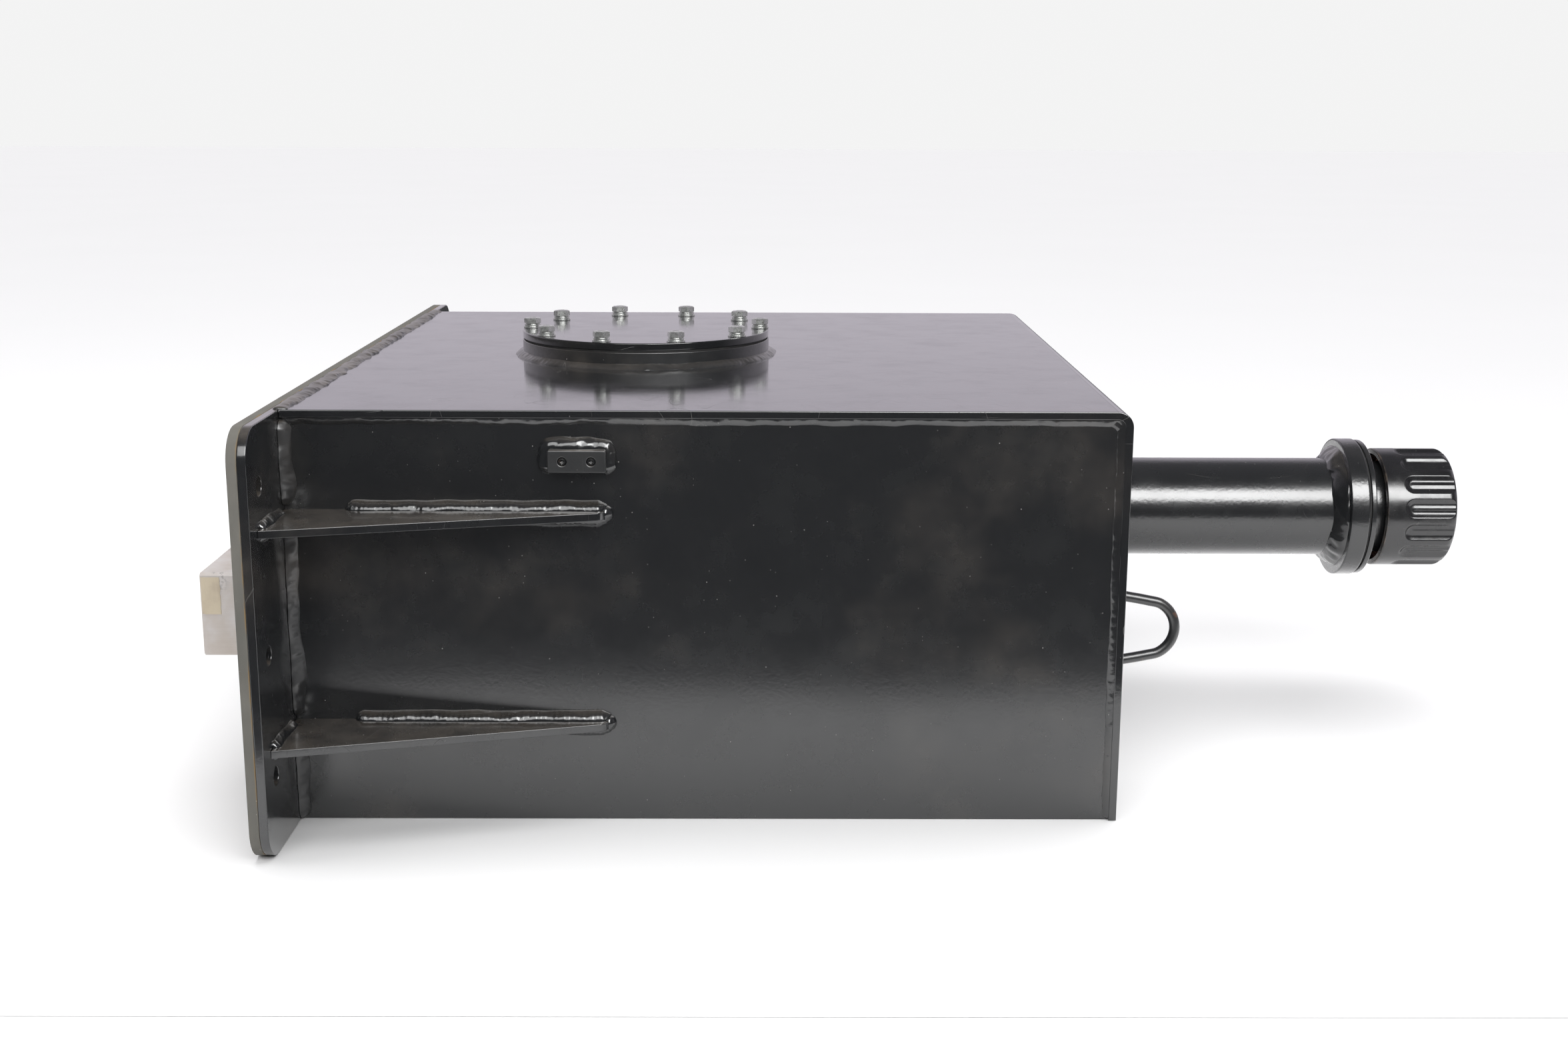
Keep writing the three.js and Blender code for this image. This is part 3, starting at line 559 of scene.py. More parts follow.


# Each row: name, dust, haze, settled dust and painted top sheen, wave, peel, roughness, gloss, hairlines, chips.
PAINT, WALL_PAINT, TOP_PAINT, WELD_PAINT, RING_PAINT, EDGE_PAINT, SEAM_PAINT, FILLER_PAINT, WORN, LOOP_PAINT = (
    gloss_paint(*row) for row in (
        ("gloss_paint", 0.25, 0.6, 0.8, 1.5, 0.03, (0.15, 0.35), 0.12, 0.12, 0),
        ("wall_paint", 0.25, 0.38, 0, 2.2, 0.03, (0.2, 0.35), 0.17, 0.012, 0),
        ("top_paint", 0.12, 0.15, 0, 0.5, 0.03, (0.1, 0.25), 0.1, 0.3, 0),
        ("weld_paint", 0.35, 0.7, 0.6, 0.4, 0.08, (0.1, 0.25), 0.17, 0.12, 0),
        ("ring_paint", 0.4, 0.6, 0.25, 0.4, 0.1, (0.3, 0.5), 0.24, 0.12, 0),
        ("edge_paint", 0.35, 0.5, 0, 0.4, 0.1, (0.1, 0.25), 0.2, 0.12, 0),
        ("seam_paint", 0.5, 0.9, 1, 0.4, 0.12, (0.35, 0.6), 0.35, 0.12, 0),
        ("filler_paint", 0.2, 0.2, 0, 0.6, 0.11, (0.2, 0.35), 0.21, 0.1, 0),
        ("worn_paint", 0.5, 0.8, 1, 1.5, 0.03, (0.2, 0.45), 0.15, 0.12, 0.5),
        ("loop_paint", 0.25, 0.6, 0, 0.3, 0.1, (0.3, 0.5), 0.3, 0.12, 0.6),
    ))
ZINC = mottled("zinc_plate", (90, 4), (0.35, 0.75), ((0.76, 0.77, 0.75, 1), (0.56, 0.57, 0.55, 1)),
               ((420, 3, 0.6), 0.22, 0.36), (160, 2), 0.00003, Metallic=0.86)
PAD = pad_board()
STEEL = ground_steel()
TAPE = mottled("masking_tape", (60, 4), (0.35, 0.7), ((0.60, 0.52, 0.39, 1), (0.50, 0.42, 0.32, 1)),
               None, (500, 2), 0.00015, (1, 1, 0.2), Roughness=0.6)
PLASTIC = moulded_plastic()
RUBBER = mottled("soft_rubber", (80, 4), (0.4, 0.8), ((0.012, 0.012, 0.012, 1), (0.04, 0.04, 0.04, 1)),
                 ((80, 4), 0.6, 0.85), (600, 2), 0.00004)
COPPER = copper_tone()
PAPER = filter_paper()
GALVANISED = mottled("galvanised", (150, 3), (0.35, 0.7), ((0.55, 0.56, 0.57, 1), (0.36, 0.36, 0.35, 1)),
                     ((150, 3), 0.28, 0.5), (500, 2), 0.00003, Metallic=1.0)


def finish(obj, body, slot, *nodes):
    """Rides a piece on its body and hides the CAD nodes that it stands for; the slot argument is not used."""
    shading = obj.modifiers.new("even_shading", "WEIGHTED_NORMAL")
    shading.keep_sharp = True
    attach(obj, body)
    if nodes:
        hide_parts(*nodes)
    return obj


# ---- tank

def cutter(axis, low, high, radius, centre, segments=96):
    profile = [(low, 0), (low, radius), (high, radius), (high, 0)]
    return mesh_object("cutter", *lathe(profile, axis, centre, segments, closed=False), PAINT)


def shell_wrap():
    """Top and right side as one bent sheet, with the hand hole and the pipe hole."""
    left = TANK_LOW.x
    arc = [radians(90 - 6 * i) for i in range(16)]
    bend = lambda radius: [(RIGHT - BEND + radius * cos(a), TOP - BEND + radius * sin(a)) for a in arc]
    loop = [(left, TOP)] + bend(BEND) + [(RIGHT, 0), (RIGHT - SHEET, 0)] + bend(BEND - SHEET)[::-1]
    loop.append((left, TOP - SHEET))
    shell = slab("shell_wrap_sheet", [loop], "Y", TANK_LOW.y, TANK_HIGH.y, TOP_PAINT, bevel=0.7)
    carve(shell, [
        cutter("Z", TOP - 2 * SHEET, TOP + SHEET, HAND_HOLE, (COVER_X, 0, 0)),
        cutter("X", RIGHT - 2 * SHEET, RIGHT + SHEET, PIPE_RADIUS + PIPE_PLAY, (0, 0, FILLER_Z)),
    ])
    return finish(shell, "root", "tank_paint", "shell_wrap")


def mounting_layers():
    """The gloss plate and the matte pad behind it, with their bolt and port holes."""
    hole_y, hole_heights, hole_radius = MOUNT_HIGH.y - 30, (58, 150, 275), 7
    loops = [rounded_outline(MOUNT_LOW.y, MOUNT_HIGH.y, MOUNT_LOW.z, MOUNT_HIGH.z, 25)]
    loops += [circle(side * hole_y, z, hole_radius) for side in (-1, 1) for z in hole_heights]
    loops += [circle(y, BLOCK_Z, bore / 2, 64) for y, bore in PORTS]
    layers = (("mounting_plate", PAINT, "tank_paint", 0.8), ("mounting_pad", PAD, "mounting_pad", 0.5))
    for node, material, slot, bevel in layers:
        low, high = place(node)
        finish(slab(f"{node}_sheet", loops, "X", low.x, high.x, material, bevel), "root", slot, node)


def gussets():
    """Four tapered plates with a rounded tip."""
    for side, name in ((-1, "front"), (1, "rear")):
        for level in ("upper", "lower"):
            node = f"gusset_{name}_{level}"
            low, high = place(node)
            wall, edge = high.y if side < 0 else low.y, side * -FRONT
            loop = [(low.x, wall), (low.x, edge + side * 71), (high.x - 6, edge + side * 10.4),
                    (high.x - 2, edge + side * 8), (high.x, edge + side * 4), (high.x, wall)]
            piece = slab(f"{node}_plate", [loop], "Z", low.z, high.z, PAINT, bevel=0.6)
            finish(piece, "root", "tank_paint", node)


# ---- hand-hole cover

BOLT_RADIUS = 205 / 2
BOLT_ANGLES = [(i + 0.5) * 2 * pi / 10 for i in range(10)]
BOLT_PLACES = [(COVER_X + BOLT_RADIUS * sin(a), -BOLT_RADIUS * cos(a)) for a in BOLT_ANGLES]


def cover_stack():
    """Welded ring, gasket and cover plate, all drilled for the bolts."""
    layers = (
        ("cover_ring_turned", "cover_flange_ring", COVER_RADIUS, HAND_HOLE, 4.4, RING_PAINT, "tank_paint", 0.8),
        ("cover_gasket_cut", "cover_gasket", COVER_RADIUS - 1, HAND_HOLE, 4.5, RUBBER, "seal_rubber", 0.2),
        ("cover_plate_turned", "access_cover", COVER_RADIUS, 0, 4.5, TOP_PAINT, "tank_paint", 0.9),
    )
    for name, node, outer, inner, hole, material, slot, bevel in layers:
        low, high = place(node)
        loops = [circle(COVER_X, 0, outer, 160)]
        if inner:
            loops.append(circle(COVER_X, 0, inner, 96))
        loops += [circle(x, y, hole, 24) for x, y in BOLT_PLACES]
        finish(slab(name, loops, "Z", low.z, high.z, material, bevel), "root", slot, node)


def hexagon(angle, flat):
    """The distance from a hexagon's centre to its side, at an angle."""
    return flat / cos(radians((degrees(angle) + 30) % 60 - 30))


def upright(section, centre, base, angle):
    """A section of (radius, height) stood at an angle about a vertical axis."""
    return [(centre[0] + r * cos(angle), centre[1] + r * sin(angle), base + z) for r, z in section]


def hexagon_bolt(centre, base, turn, flat=6.5, head=BOLT_HEAD, shank=4, length=22, samples=72):
    """Hexagon bolt: chamfered corners, a washer face, and a shank with its threads as rings."""
    crown, pitch, recess = flat * 0.93, 1.25, 0.25
    rings = []
    for angle in turns(samples):
        corner = hexagon(angle, flat)
        shoulder = head - max(0, corner - crown) * tan(radians(28))
        section = [(0, -length), (shank - 0.8, -length), (shank, -length + 1)]
        for k in range(10):
            z = -length + 1 + pitch * k
            section += [(shank, z + 0.2), (shank - 0.55, z + 0.65)]
        section += [(shank, -length + 14), (shank, 0.1), (flat * 0.95, 0), (flat * 0.95, 0.4),
                    (corner - 0.25, 0.45), (corner, 0.7), (corner, shoulder - 0.15), (corner - 0.2, shoulder),
                    (crown, head - 0.05), (crown - 0.5, head), (flat * 0.55, head),
                    (flat * 0.5, head - recess), (0, head - recess)]
        rings.append(upright(section, centre, base, angle + turn))
    return spindle(rings)


def washer_pair(centre, base, turn, bore=4.3, flat=1.6, spring=2.1, rise=0.35, samples=60):
    """A plain washer under a split spring washer whose ends stand a little apart."""
    batch = Batch()
    batch.add(*lathe(ring_profile(0, flat, bore, 8, 0.3), "Z", (centre[0], centre[1], base), 64))
    rings = []
    gap = radians(7)
    for i in range(samples + 1):
        t = i / samples
        low, high = flat + rise * t, flat + spring - rise + rise * t
        section = soften([(bore, low), (7.05, low), (7.05, high), (bore, high)], 0.25, closed=True, steps=2)
        rings.append(upright(section, centre, base, turn + gap / 2 + (2 * pi - gap) * t))
    return batch.add(*tube(rings))


def cover_fasteners():
    for i, (x, y) in enumerate(BOLT_PLACES):
        number = f"{i + 1:02d}"
        turn = radians(30 + 0.4 * ((i * 47) % 60 - 30))
        washer_low = place(f"cover_washer_{number}")[0].z
        bolt_top = place(f"cover_bolt_{number}")[1].z
        washers = washer_pair((x, y), washer_low, turn * 5).piece(f"cover_washers_{number}", ZINC, 40)
        finish(washers, "root", "zinc", f"cover_washer_{number}")
        verts, faces = hexagon_bolt((x, y), bolt_top - BOLT_HEAD, turn)
        bolt = mesh_object(f"cover_hex_bolt_{number}", verts, faces, ZINC, 32)
        finish(bolt, "root", "zinc", f"cover_bolt_{number}")


# ---- filler pipe, flange and neck

AXIS = (0, 0, FILLER_Z)
SCREW_CIRCLE = 103
SCREW_ANGLES = [radians(a) for a in (45, 135, 225, 315)]
SCREW_PLACES = [(SCREW_CIRCLE / 2 * sin(a), SCREW_CIRCLE / 2 * cos(a)) for a in SCREW_ANGLES]


def turned_ring(name, node, inner, bevel, segments, material, slot, body="root"):
    """A plain ring on the filler's axis, as long and as wide as its CAD node."""
    low, high = place(node)
    profile = ring_profile(low.x, high.x, inner, (high.z - low.z) / 2, bevel)
    finish(mesh_object(name, *lathe(profile, "X", AXIS, segments), material), body, slot, node)


def filler_tube():
    paint = FILLER_PAINT, "filler_paint"
    turned_ring("filler_pipe_tube", "filler_pipe", PIPE_RADIUS - PIPE_WALL, 0.8, 160, *paint)
    turned_ring("filler_flange_turned", "filler_flange", PIPE_RADIUS + PIPE_PLAY, 1.3, 160, *paint)
    turned_ring("filler_gasket_cut", "filler_gasket", PIPE_RADIUS, 0.3, 128, RUBBER, "seal_rubber")


def filler_neck():
    """Thin disc with a rolled rim, a collar, and a notched bayonet rim."""
    disc = (NECK_HIGH.z - NECK_LOW.z) / 2
    face = place("neck_screw_01")[1].x
    start, end = NECK_LOW.x, NECK_HIGH.x
    profile = soften([
        (start, 36.6), (start, disc), (face, disc), (face, 42), (end, 42), (end, 33), (end - 3, 33),
        (end - 3, 39), (start + 2.4, 39), (start + 2.4, 36.6)], 1.0, closed=True)
    neck = mesh_object("filler_neck_pressed", *lathe(profile, "X", AXIS, 128), FILLER_PAINT)
    cutters = []
    for y, z in SCREW_PLACES:
        cone = [(face - 5, 0), (face - 5, 2.8), (face - 2.5, 2.8), (face, 5.3), (face + 1, 5.3), (face + 1, 0)]
        cutters.append(mesh_object("cutter", *lathe(cone, "X", (0, y, FILLER_Z + z), 48, closed=False), PAINT))
    for i in range(3):
        middle = pi / 2 + i * 2 * pi / 3
        half = radians(14)
        arc = [middle - half + 2 * half * k / 8 for k in range(9)]
        loop = [(20 * cos(a), FILLER_Z + 20 * sin(a)) for a in (arc[-1], arc[0])]
        loop += [(37.5 * cos(a), FILLER_Z + 37.5 * sin(a)) for a in arc]
        cutters.append(slab("cutter", [loop], "X", end - 4, end + 1, PAINT, bevel=0.05, steps=1))
    carve(neck, cutters)
    finish(neck, "root", "filler_paint", "filler_neck")


def neck_screws():
    """Countersunk screws with a cross recess."""
    for i in range(4):
        node = f"neck_screw_{i + 1:02d}"
        low, high = place(node)
        centre = (0, (low.y + high.y) / 2, (low.z + high.z) / 2)
        top = high.x - 0.25
        profile = soften([(low.x, 0), (low.x, 2.5), (high.x - 2.5, 2.5), (top, 4.9), (top, 0)], 0.3)
        screw = mesh_object(f"{node}_cross", *lathe(profile, "X", centre, 48, closed=False), ZINC)
        arms = []
        for turn in (0, 90):
            half, reach = (0.55, 2.6) if turn else (2.6, 0.55)
            y, z = centre[1], centre[2]
            loop = [(y - half, z - reach), (y + half, z - reach), (y + half, z + reach), (y - half, z + reach)]
            arms.append(slab("cutter", [loop], "X", top - 1.6, top + 1, ZINC, bevel=0.05, steps=1))
        carve(screw, arms)
        finish(screw, "root", "zinc", node)


def strainer():
    """Slotted basket, finer than the CAD one."""
    low, high = place("filler_strainer")
    rim = (high.z - low.z) / 2
    wall, body = 1.4, rim - 2.4
    profile = soften([
        (low.x, 0), (low.x, body), (high.x - 1.2, body), (high.x - 1.2, rim), (high.x, rim),
        (high.x, body - wall), (low.x + wall, body - wall), (low.x + wall, 0)], 0.5)
    basket = mesh_object("strainer_basket", *lathe(profile, "X", AXIS, 96, closed=False), GALVANISED)
    slots = []
    for row in range(3):
        x = low.x + 14 + 48 * row
        for column in range(4):
            angle = pi * column / 4
            loop = rounded_outline(x, x + 36, -4.5, 4.5, 4.4, steps=5)
            bar = slab("cutter", [loop], "Z", -body - 3, body + 3, GALVANISED, bevel=0.05, steps=1)
            shift = Matrix.Translation((0, 0, FILLER_Z * MM)) @ Matrix.Rotation(angle, 4, "X")
            bar.data.transform(shift)
            slots.append(bar)
    carve(basket, slots)
    finish(basket, "root", "strainer_steel", "filler_strainer")


# ---- breather cap

def cap_shell():
    """Moulded cap: fluted outside, rounded crown, plain bore."""
    mouth, top = CAP_LOW.x, CAP_HIGH.x
    flutes, half_width, depth, start, phase = 15, 8.5, 3, mouth + 16.5, radians(9.9)
    slope, crease = 0.62, 0.2  # how much of a flute is its side, and how far its middle rises again
    crown, bore = 8.6, 48.5
    roof, straight, dish = top - 4, top - crown, top - 0.5
    section = [(mouth, bore + 0.4), (mouth, CAP_RADIUS - 1.1), (mouth + 0.15, CAP_RADIUS - 0.6),
               (mouth + 0.5, CAP_RADIUS - 0.2), (mouth + 1.1, CAP_RADIUS)]
    rows = 62
    section += [(mouth + 1.1 + (straight - mouth - 1.1) * i / rows, CAP_RADIUS) for i in range(1, rows + 1)]
    for i in range(1, 17):
        a = pi / 2 * i / 16
        section.append((straight + crown * sin(a), CAP_RADIUS - crown * (1 - cos(a))))
    section += [(top, 44.6), (top, 40), (top, 38.6), (dish, 38), (dish, 20)]
    inside = [(roof, 20), (roof, bore - 5), (roof - 0.6, bore - 4), (roof - 3.4, bore - 0.6), (roof - 4.2, bore),
              (mouth + 0.5, bore)]
    around = flutes * 28
    rings = []
    for angle in turns(around):
        offset = (angle - phase + pi / flutes) % (2 * pi / flutes) - pi / flutes
        ring = []
        for x, r in section:
            u = CAP_RADIUS * offset
            inside_by = half_width - (abs(u) if x > start + half_width else hypot(u, x - start - half_width))
            t = min(1, max(0, inside_by / half_width))
            scoop = sin(pi / 2 * min(1, t / slope)) - crease * max(0, (t - slope) / (1 - slope)) ** 1.5
            ring.append((x, min(r, CAP_RADIUS - depth * scoop)))
        ring += inside
        c, s = -cos(angle), sin(angle)
        rings.append([(x, r * c, FILLER_Z + r * s) for x, r in ring])
    inner = len(rings[0])
    verts = [point for ring in rings for point in ring] + [(dish, 0, FILLER_Z), (roof, 0, FILLER_Z)]
    pole, well = len(verts) - 2, len(verts) - 1
    last = len(section) - 1
    faces = []
    for i in range(around):
        a, b = i * inner, (i + 1) % around * inner
        steps = [(j, (j + 1) % inner) for j in range(inner) if j != last]
        faces += [(a + j, a + k, b + k, b + j) for j, k in steps]
        faces += [(a + last, pole, b + last), (a + last + 1, b + last + 1, well)]
    cap = mesh_object("cap_shell_moulded", verts, faces, PLASTIC, 50)
    finish(cap, "cap_turn", "cap_plastic", "cap_shell")


def cap_inserts():
    turned_ring("cap_ring_rolled", "cap_retaining_ring", 45, 0.5, 128, COPPER, "copper_ring", "cap_turn")
    low, high = place("breather_element")
    rings = []
    pleats, samples = 60, 6
    for angle in turns(pleats * samples):
        fold = 0.5 - 0.5 * cos(angle * pleats)
        inner, outer = 20 + 3 * fold, 38.5 + 3.4 * fold
        c, s = cos(angle), sin(angle)
        rings.append([(x, r * c, FILLER_Z + r * s)
                      for x, r in ((low.x, inner), (low.x, outer), (high.x, outer), (high.x, inner))])
    element = mesh_object("breather_pleats", *tube(rings, closed=True), PAPER, 60)
    finish(element, "cap_turn", "filter_paper", "breather_element")


# ---- loop, sensor pad and port block

def smooth_path(points, count):
    """A centripetal Catmull-Rom curve through the points."""
    padded = [points[0] * 2 - points[1]] + points + [points[-1] * 2 - points[-2]]
    path = []
    for i in range(len(points) - 1):
        near = padded[i:i + 4]
        knots = [0]
        for here, there in zip(near, near[1:]):
            knots.append(knots[-1] + (there - here).length ** 0.5)
        for k in range(count):
            t = knots[1] + (knots[2] - knots[1]) * k / count
            blend = lambda p, q, a, b: p.lerp(q, (t - knots[a]) / (knots[b] - knots[a]))
            first = [blend(near[j], near[j + 1], j, j + 1) for j in range(3)]
            second = [blend(first[j], first[j + 1], j, j + 2) for j in range(2)]
            path.append(blend(*second, 1, 2))
    return path + [points[-1]]


def tie_down_loop():
    """Bent rod, welded by its two ends."""
    bend, reach, middle = 22, 21, sum(LOOP_FEET) / 2
    points = [Vector((RIGHT + 0.3, LOOP_Y, LOOP_FEET[0]))]
    for i in range(7):
        a = pi / 2 - i * pi / 6
        points.append(Vector((RIGHT + reach + bend * cos(a), LOOP_Y, middle + bend * sin(a))))
    points.append(Vector((RIGHT + 0.3, LOOP_Y, LOOP_FEET[1])))
    path = smooth_path(points, 10)
    rings = []
    for i, point in enumerate(path):
        ahead, behind = path[min(i + 1, len(path) - 1)], path[max(i - 1, 0)]
        side = (ahead - behind).normalized().cross(Vector((0, 1, 0)))
        if i in (0, len(path) - 1):
            side = Vector((0, 0, side.z)).normalized()
        radius = ROD_RADIUS * (1 + 0.006 * wobble(i * 0.3, 0, 0))
        rings.append([point + side * radius * cos(a) + Vector((0, radius * sin(a), 0))
                      for a in turns(32)])
    loop = mesh_object("tie_down_rod", *tube(rings), LOOP_PAINT)
    finish(loop, "root", "tank_paint", "tie_down_loop")


def sensor_pad():
    """Small drilled pad with a recessed plug in each hole."""
    plugs = {}
    for node in ("pad_plug_left", "pad_plug_right"):
        low, high = place(node)
        plugs[node] = (low.x + high.x) / 2, (low.z + high.z) / 2, low.y, high.y
    loops = [rounded_outline(SENSOR_LOW.x, SENSOR_HIGH.x, SENSOR_LOW.z, SENSOR_HIGH.z, 1.4, 4)]
    loops += [circle(x, z, 3.3, 40) for x, z, _, _ in plugs.values()]
    pad = slab("sensor_pad_block", loops, "Y", SENSOR_LOW.y, SENSOR_HIGH.y, SEAM_PAINT, bevel=0.7)
    finish(pad, "root", "tank_paint", "sensor_pad")
    for node, (x, z, front, back) in plugs.items():
        rings = []
        for angle in turns(48):
            socket = hexagon(angle, 1.6)
            section = [(back, 2.9), (front + 0.4, 3.0), (front, 2.6), (front, socket + 0.2),
                       (front + 0.3, socket), (front + 2.6, socket), (front + 3, 0.4), (back, 0.4)]
            rings.append([(x + r * cos(angle), y, z + r * sin(angle)) for y, r in section])
        plug = mesh_object(f"{node}_socket", *tube(rings, closed=True), WORN, 30)
        finish(plug, "root", "tank_paint", node)


def port_block():
    """Ground block with chamfered edges, two counterbored ports, and old tape on its front."""
    chamfer, left = 2, BLOCK_LOW.x
    y0, y1, z0, z1 = BLOCK_LOW.y, BLOCK_HIGH.y, BLOCK_LOW.z, BLOCK_HIGH.z
    outline = [(y0 + chamfer, z0), (y1 - chamfer, z0), (y1, z0 + chamfer), (y1, z1 - chamfer),
               (y1 - chamfer, z1), (y0 + chamfer, z1), (y0, z1 - chamfer), (y0, z0 + chamfer)]
    bores = [circle(y, BLOCK_Z, bore / 2, 64) for y, bore in PORTS]
    block = slab("port_block_ground", [outline] + bores, "X", left, BLOCK_HIGH.x, STEEL, bevel=0.5)
    carve(block, [cutter("X", left - 2, left + 3, bore / 2 + 3, (0, y, BLOCK_Z), 64)
                  for y, bore in PORTS])
    finish(block, "root", "block_steel", "port_block")
    x0, x1, top, bottom = left + 0.8, left + 15.4, z1 - 3.2, z1 - 32.6
    loop = [(x0, bottom + 0.4)] + [(x0 + (x1 - x0) * i / 8, bottom + 0.5 * wobble(i * 0.9, 1, 0))
                                   for i in range(1, 9)]
    loop += [(x1 + 0.9 * wobble(i * 0.5, 4, 0), bottom + (top - bottom) * i / 16)
             for i in range(1, 16)]
    loop += [(x1 - 0.4, top), (x0, top)]
    tape = slab("block_tape", [loop], "Y", y0 - 0.25, y0 + 0.02, TAPE, bevel=0.08, steps=1)
    finish(tape, "root", "block_steel")


# ---- welds

X, Y, Z = Vector((1, 0, 0)), Vector((0, 1, 0)), Vector((0, 0, 1))


def arc_legs(y, out, inset, radius, steps):
    """Legs round the shell's inner bend, in steps of 7.5 degrees from the top."""
    centre = Vector((RIGHT - SHEET - inset, y, TOP - SHEET - inset))
    legs = []
    for i in steps:
        a = pi / 2 * (1 - i / 12)
        radial = Vector((cos(a), 0, sin(a)))
        legs.append(Leg(centre + radial * radius, out, -radial))
    return legs


def perimeter_welds(batch):
    """Beads inside the shell's edges, at the front and the rear, with a second one round the bend."""
    even = dict(pitch=6, ripple=0.04, lump=0.2)
    for side in (-1, 1):
        y, out = side * -FRONT_FACE, Y * side
        legs = legs_at(out, -Z, (1, y, TOP - SHEET))
        legs += arc_legs(y, out, BEND - SHEET, BEND - SHEET, range(13))
        legs += legs_at(out, -X, (RIGHT - SHEET, y, 1))
        bead(batch, arc_legs(y, out, 15, 16, range(-1, 14)), 2.3, 5, bulge=1.4, seed=side + 5, **even)
        bead(batch, legs, 2.7, 5.2, seed=side + 2, **even)


def plate_welds(batch):
    """Beads between the tank and the mounting plate: broken verticals, and the top seam's two sides."""
    for side in (-1, 1):
        y = side * -FRONT_FACE
        for low, high in ((1, 72), (84, 236), (248, TOP - 8)):
            legs = legs_at(X, Y * side, (0.3, y, low), (0.3, y, high))
            bead(batch, legs, 8, 7.5, pitch=6, ripple=0.035, seed=5 + side + low)
    for along, size in ((X, 7), (-X, 5)):
        legs = legs_at(along, Z, (0, FRONT + 1, TOP - 0.3), (0, -FRONT - 1, TOP - 0.3))
        bead(batch, legs, size, 2.8, pitch=6, ripple=0.06, lump=0.5, bulge=1.2, seed=8)


def gusset_welds(batch):
    """Thick beads on the gussets, above and below, round the tip, and down the root."""
    for side, name in ((-1, "front"), (1, "rear")):
        out, wall = Y * side, side * -FRONT_FACE
        for level in ("upper", "lower"):
            low, high = place(f"gusset_{name}_{level}")
            for z, up, start in ((high.z, Z, 46), (low.z, -Z, 30)):
                legs = legs_at(out, up, (start, wall, z), (high.x - 2, wall, z))
                legs += legs_at(out, (up + X).normalized(), (high.x + 0.5, wall, z))
                bead(batch, legs, 8, 7, pitch=3.6, ripple=0.09, lump=0.13, bulge=1.2, seed=side * 3 + z)
            legs = legs_at(out, X, (high.x, wall, high.z + 3), (high.x, wall, low.z - 3))
            bead(batch, legs, 7, 6.5, ripple=0.06, lump=0.25, seed=side + 9, bulge=1.35)
            for z, up in ((high.z, Z), (low.z, -Z)):
                legs = legs_at(X, up, (0, wall + side * 12, z), (0, wall + side * 68, z))
                bead(batch, legs, 5, 5, seed=z + 1)


def pad_welds(batch):
    """A wide lumpy bead up the sides of the sensor pad and over its top, open below."""
    x0, x1, z0, z1 = SENSOR_LOW.x, SENSOR_HIGH.x, SENSOR_LOW.z, SENSOR_HIGH.z
    route = (
        (x0 + 4, z0, (-0.5, 0, -0.86)), (x0, z0 + 1, -X), (x0, z1 - 1, -X), (x0 + 1, z1, (-0.5, 0, 0.86)),
        (x0 + 5, z1, Z), (x1 - 5, z1, Z), (x1 - 1, z1, (0.6, 0, 0.8)), (x1, z1 - 2, X), (x1, z0 + 1, X),
        (x1 - 4, z0, (0.5, 0, -0.86)),
    )
    legs = [Leg(Vector((x, FRONT_FACE, z)), -Y, Vector(up)) for x, z, up in route]
    bead(batch, legs, 6, 8, pitch=14, bulge=1.1, seed=4, spacing=0.8, sides=12)


def filler_welds(batch):
    """Fillets at both ends of the filler pipe; the one at the flange is wide and uneven."""
    bead(batch, ring_legs("X", (RIGHT, 0, FILLER_Z), PIPE_RADIUS, X), 6, 6, lump=0.2, closed=True,
         seed=21, bulge=1.35)
    bead(batch, ring_legs("X", (FLANGE_LOW.x, 0, FILLER_Z), PIPE_RADIUS, -X), 12, 11, pitch=12,
         lump=0.22, bulge=1.6, closed=True, seed=12, sides=14)


def cover_weld(batch):
    bead(batch, ring_legs("Z", (COVER_X, 0, TOP), COVER_RADIUS, Z, 120), 4.5, 6.5, pitch=5.5,
         lump=0.22, bulge=1.7, closed=True, seed=31)


def loop_welds(batch):
    for z, seed in zip(LOOP_FEET, (2, 7)):
        bead(batch, ring_legs("X", (RIGHT, LOOP_Y, z), ROD_RADIUS - 0.1, X, 24), 3, 2.6, pitch=3,
             closed=True, seed=seed, spacing=0.7, ripple=0.12, bulge=1.35)


def welds():
    beads = (
        ("weld_perimeter", perimeter_welds, EDGE_PAINT, "tank_paint"),
        ("weld_plate", plate_welds, SEAM_PAINT, "tank_paint"),
        ("weld_gussets", gusset_welds, WELD_PAINT, "tank_paint"),
        ("weld_sensor_pad", pad_welds, WELD_PAINT, "tank_paint"),
        ("weld_filler", filler_welds, WELD_PAINT, "filler_paint"),
        ("weld_cover_ring", cover_weld, RING_PAINT, "tank_paint"),
        ("weld_loop", loop_welds, WELD_PAINT, "tank_paint"),
    )
    for name, build, material, slot in beads:
        batch = Batch()
        build(batch)
        finish(batch.piece(name, material, 60), "root", slot)


# ---- carried-over CAD nodes

CAD_FINISHES = {
    WALL_PAINT: ["front_plate", "rear_plate"],
    PAINT: ["floor_plate", "baffle_plate", "drain_boss"],
    ZINC: ["cap_lug_plate", "cap_seal_plate", "cap_spring", "drain_plug"],
    GALVANISED: ["suction_strainer", "return_diffuser"],
    RUBBER: ["cap_gasket"],
}


def dress_cad_nodes():
    for material, names in CAD_FINISHES.items():
        for name in names:
            mesh = frame["nodes"][name].data
            mesh.materials.clear()
            mesh.materials.append(material)
            if name.startswith(("cap", "drain", "suction", "return")):
                mesh.shade_smooth()
                mesh.set_sharp_from_angle(angle=radians(35))


# ---- stage, light and camera

def pale_floor():
    floor = Finish("pale_floor", Roughness=0.9)
    pale, paler = (0.86, 0.86, 0.86, 1), (0.8772, 0.8772, 0.8772, 1)
    floor.set("Base Color", floor.mix(floor.noise(1.5, 2), pale, paler))
    return floor.material


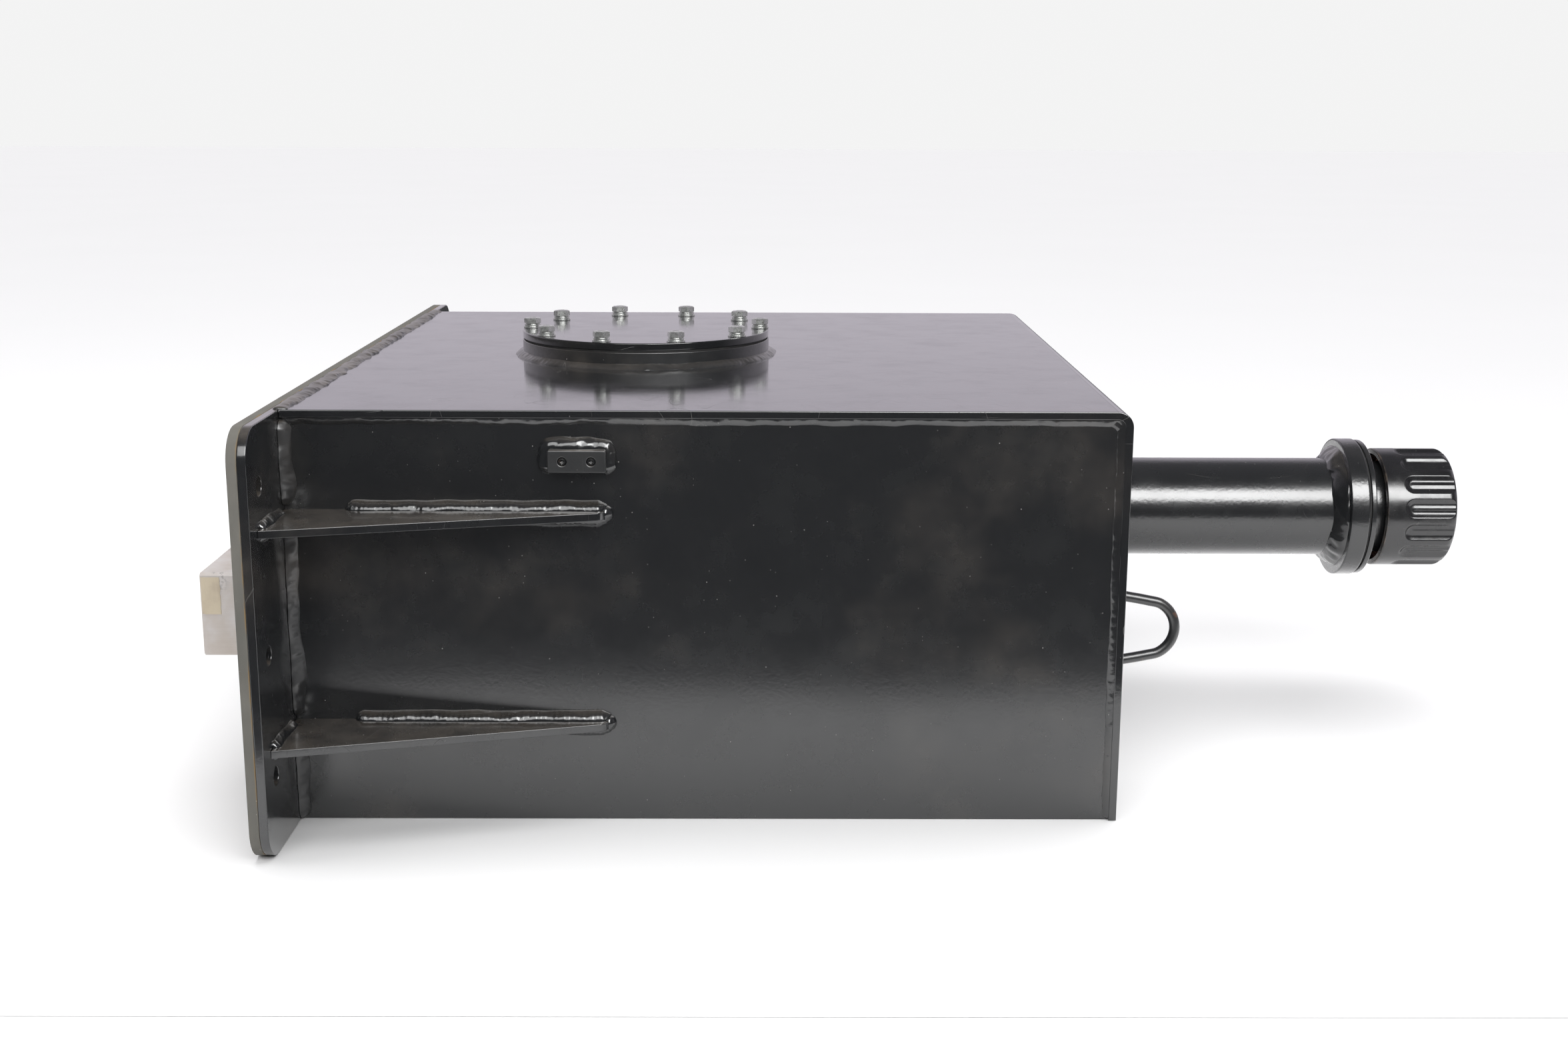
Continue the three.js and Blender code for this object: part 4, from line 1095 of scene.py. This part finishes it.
def floor_plane(name, x0, x1, y0, y1, z, material):
    verts = [(x0, y0, z), (x1, y0, z), (x1, y1, z), (x0, y1, z)]
    obj = mesh_object(name, verts, [(0, 1, 2, 3)], material)
    return obj


def stage():
    """A pale sheet close round the tank, and a wider floor that glossy paint doesn't mirror."""
    pale = pale_floor()
    floor_plane("floor_near", -900, 1800, -640, 1600, -0.4, pale)
    wide = floor_plane("floor_wide", -20000, 20000, -20000, 20000, -0.9, pale)
    wide.visible_glossy = False


def world():
    """Bright low behind the tank, dim in front, overhead and below, and plain pale grey for the camera."""
    scene_world = bpy.data.worlds.new("studio")
    bpy.context.scene.world = scene_world
    scene_world.use_nodes = True
    tree = scene_world.node_tree
    tree.nodes.clear()
    add = partial(add_node, tree)

    def ramp(value, low, high, to_low, to_high):
        return add("MapRange", {0: value, 1: low, 2: high, 3: to_low, 4: to_high})

    dim, bright, backdrop = (0.07, 0.07, 0.075, 1), (0.57, 0.535, 0.595, 1), (0.9, 0.9, 0.9, 1)
    direction = add("TexCoord", output="Generated")
    height = add("SeparateXYZ", {0: direction}, "Z")
    back = ramp(add("SeparateXYZ", {0: direction}, "Y"), -0.25, 0.35, 0.0, 1.0)
    above, below = ramp(height, -0.06, 0.02, 0.0, 1.0), ramp(height, 0.42, 0.7, 1.0, 0.12)
    band = add("Math", {0: above, 1: below}, operation="MULTIPLY")
    glow = add("Math", {0: back, 1: band}, operation="MULTIPLY")
    lit = add("Mix", {0: glow, 6: dim, 7: bright}, 2, data_type="RGBA")
    seen = add("LightPath", output="Is Camera Ray")
    shown = add("Mix", {0: seen, 6: lit, 7: backdrop}, 2, data_type="RGBA")
    background = add("Background", {0: shown, 1: 1.0})
    tree.links.new(background, tree.nodes.new("ShaderNodeOutputWorld").inputs["Surface"])


def softbox(name, location, target, width, height, power):
    light = bpy.data.lights.new(name, "AREA")
    light.shape, light.size, light.size_y, light.energy = "RECTANGLE", width, height, power
    obj = new_object(name, light)
    obj.location = location
    obj.rotation_euler = (Vector(target) - Vector(location)).to_track_quat("-Z", "Y").to_euler()
    return obj


def lights():
    """Two softboxes in front, one at the left that paint doesn't mirror, and a soft ceiling."""
    softbox("key_front", (0.25, -1.95, 1.65), (0.1, 0, 0.2), 3.0, 1.2, 42)
    gloss = softbox("key_gloss", (0.9, -1.96, 1.66), (0.75, 0, 0.2), 1.9, 1.05, 44)
    gloss.visible_diffuse = False
    softbox("fill_left", (-2.6, -0.6, 1.2), (-0.3, 0, 0.2), 1.6, 1.6, 20).visible_glossy = False
    light = bpy.data.lights.new("ceiling", "SUN")
    light.energy, light.angle = 2.95, radians(70)
    ceiling = new_object("ceiling", light)
    ceiling.rotation_euler = (radians(-12), radians(8), 0)
    ceiling.visible_glossy = False


def camera():
    """Views the reservoir from the front, a little above and left of its middle."""
    lens = bpy.data.cameras.new("camera")
    lens.lens, lens.sensor_width = 42.53, 36
    eye = Vector((-0.0870, -1.6709, 0.5427))
    pitch, yaw, roll = 0.2240, 0.0061, 0.0040
    ahead = Vector((sin(yaw) * cos(pitch), cos(yaw) * cos(pitch), -sin(pitch)))
    level = Vector((cos(yaw), -sin(yaw), 0))
    right = level * cos(roll) + level.cross(ahead) * sin(roll)
    up = right.cross(ahead)
    matrix = Matrix((right, up, -ahead)).transposed().to_4x4()
    matrix.translation = eye
    obj = new_object("camera", lens)
    obj.matrix_world = matrix
    bpy.context.scene.camera = obj


shell_wrap()
mounting_layers()
gussets()
cover_stack()
cover_fasteners()
filler_tube()
filler_neck()
neck_screws()
strainer()
cap_shell()
cap_inserts()
tie_down_loop()
sensor_pad()
port_block()
welds()
dress_cad_nodes()
stage()
world()
lights()
camera()
bpy.context.scene.view_settings.view_transform = "Standard"
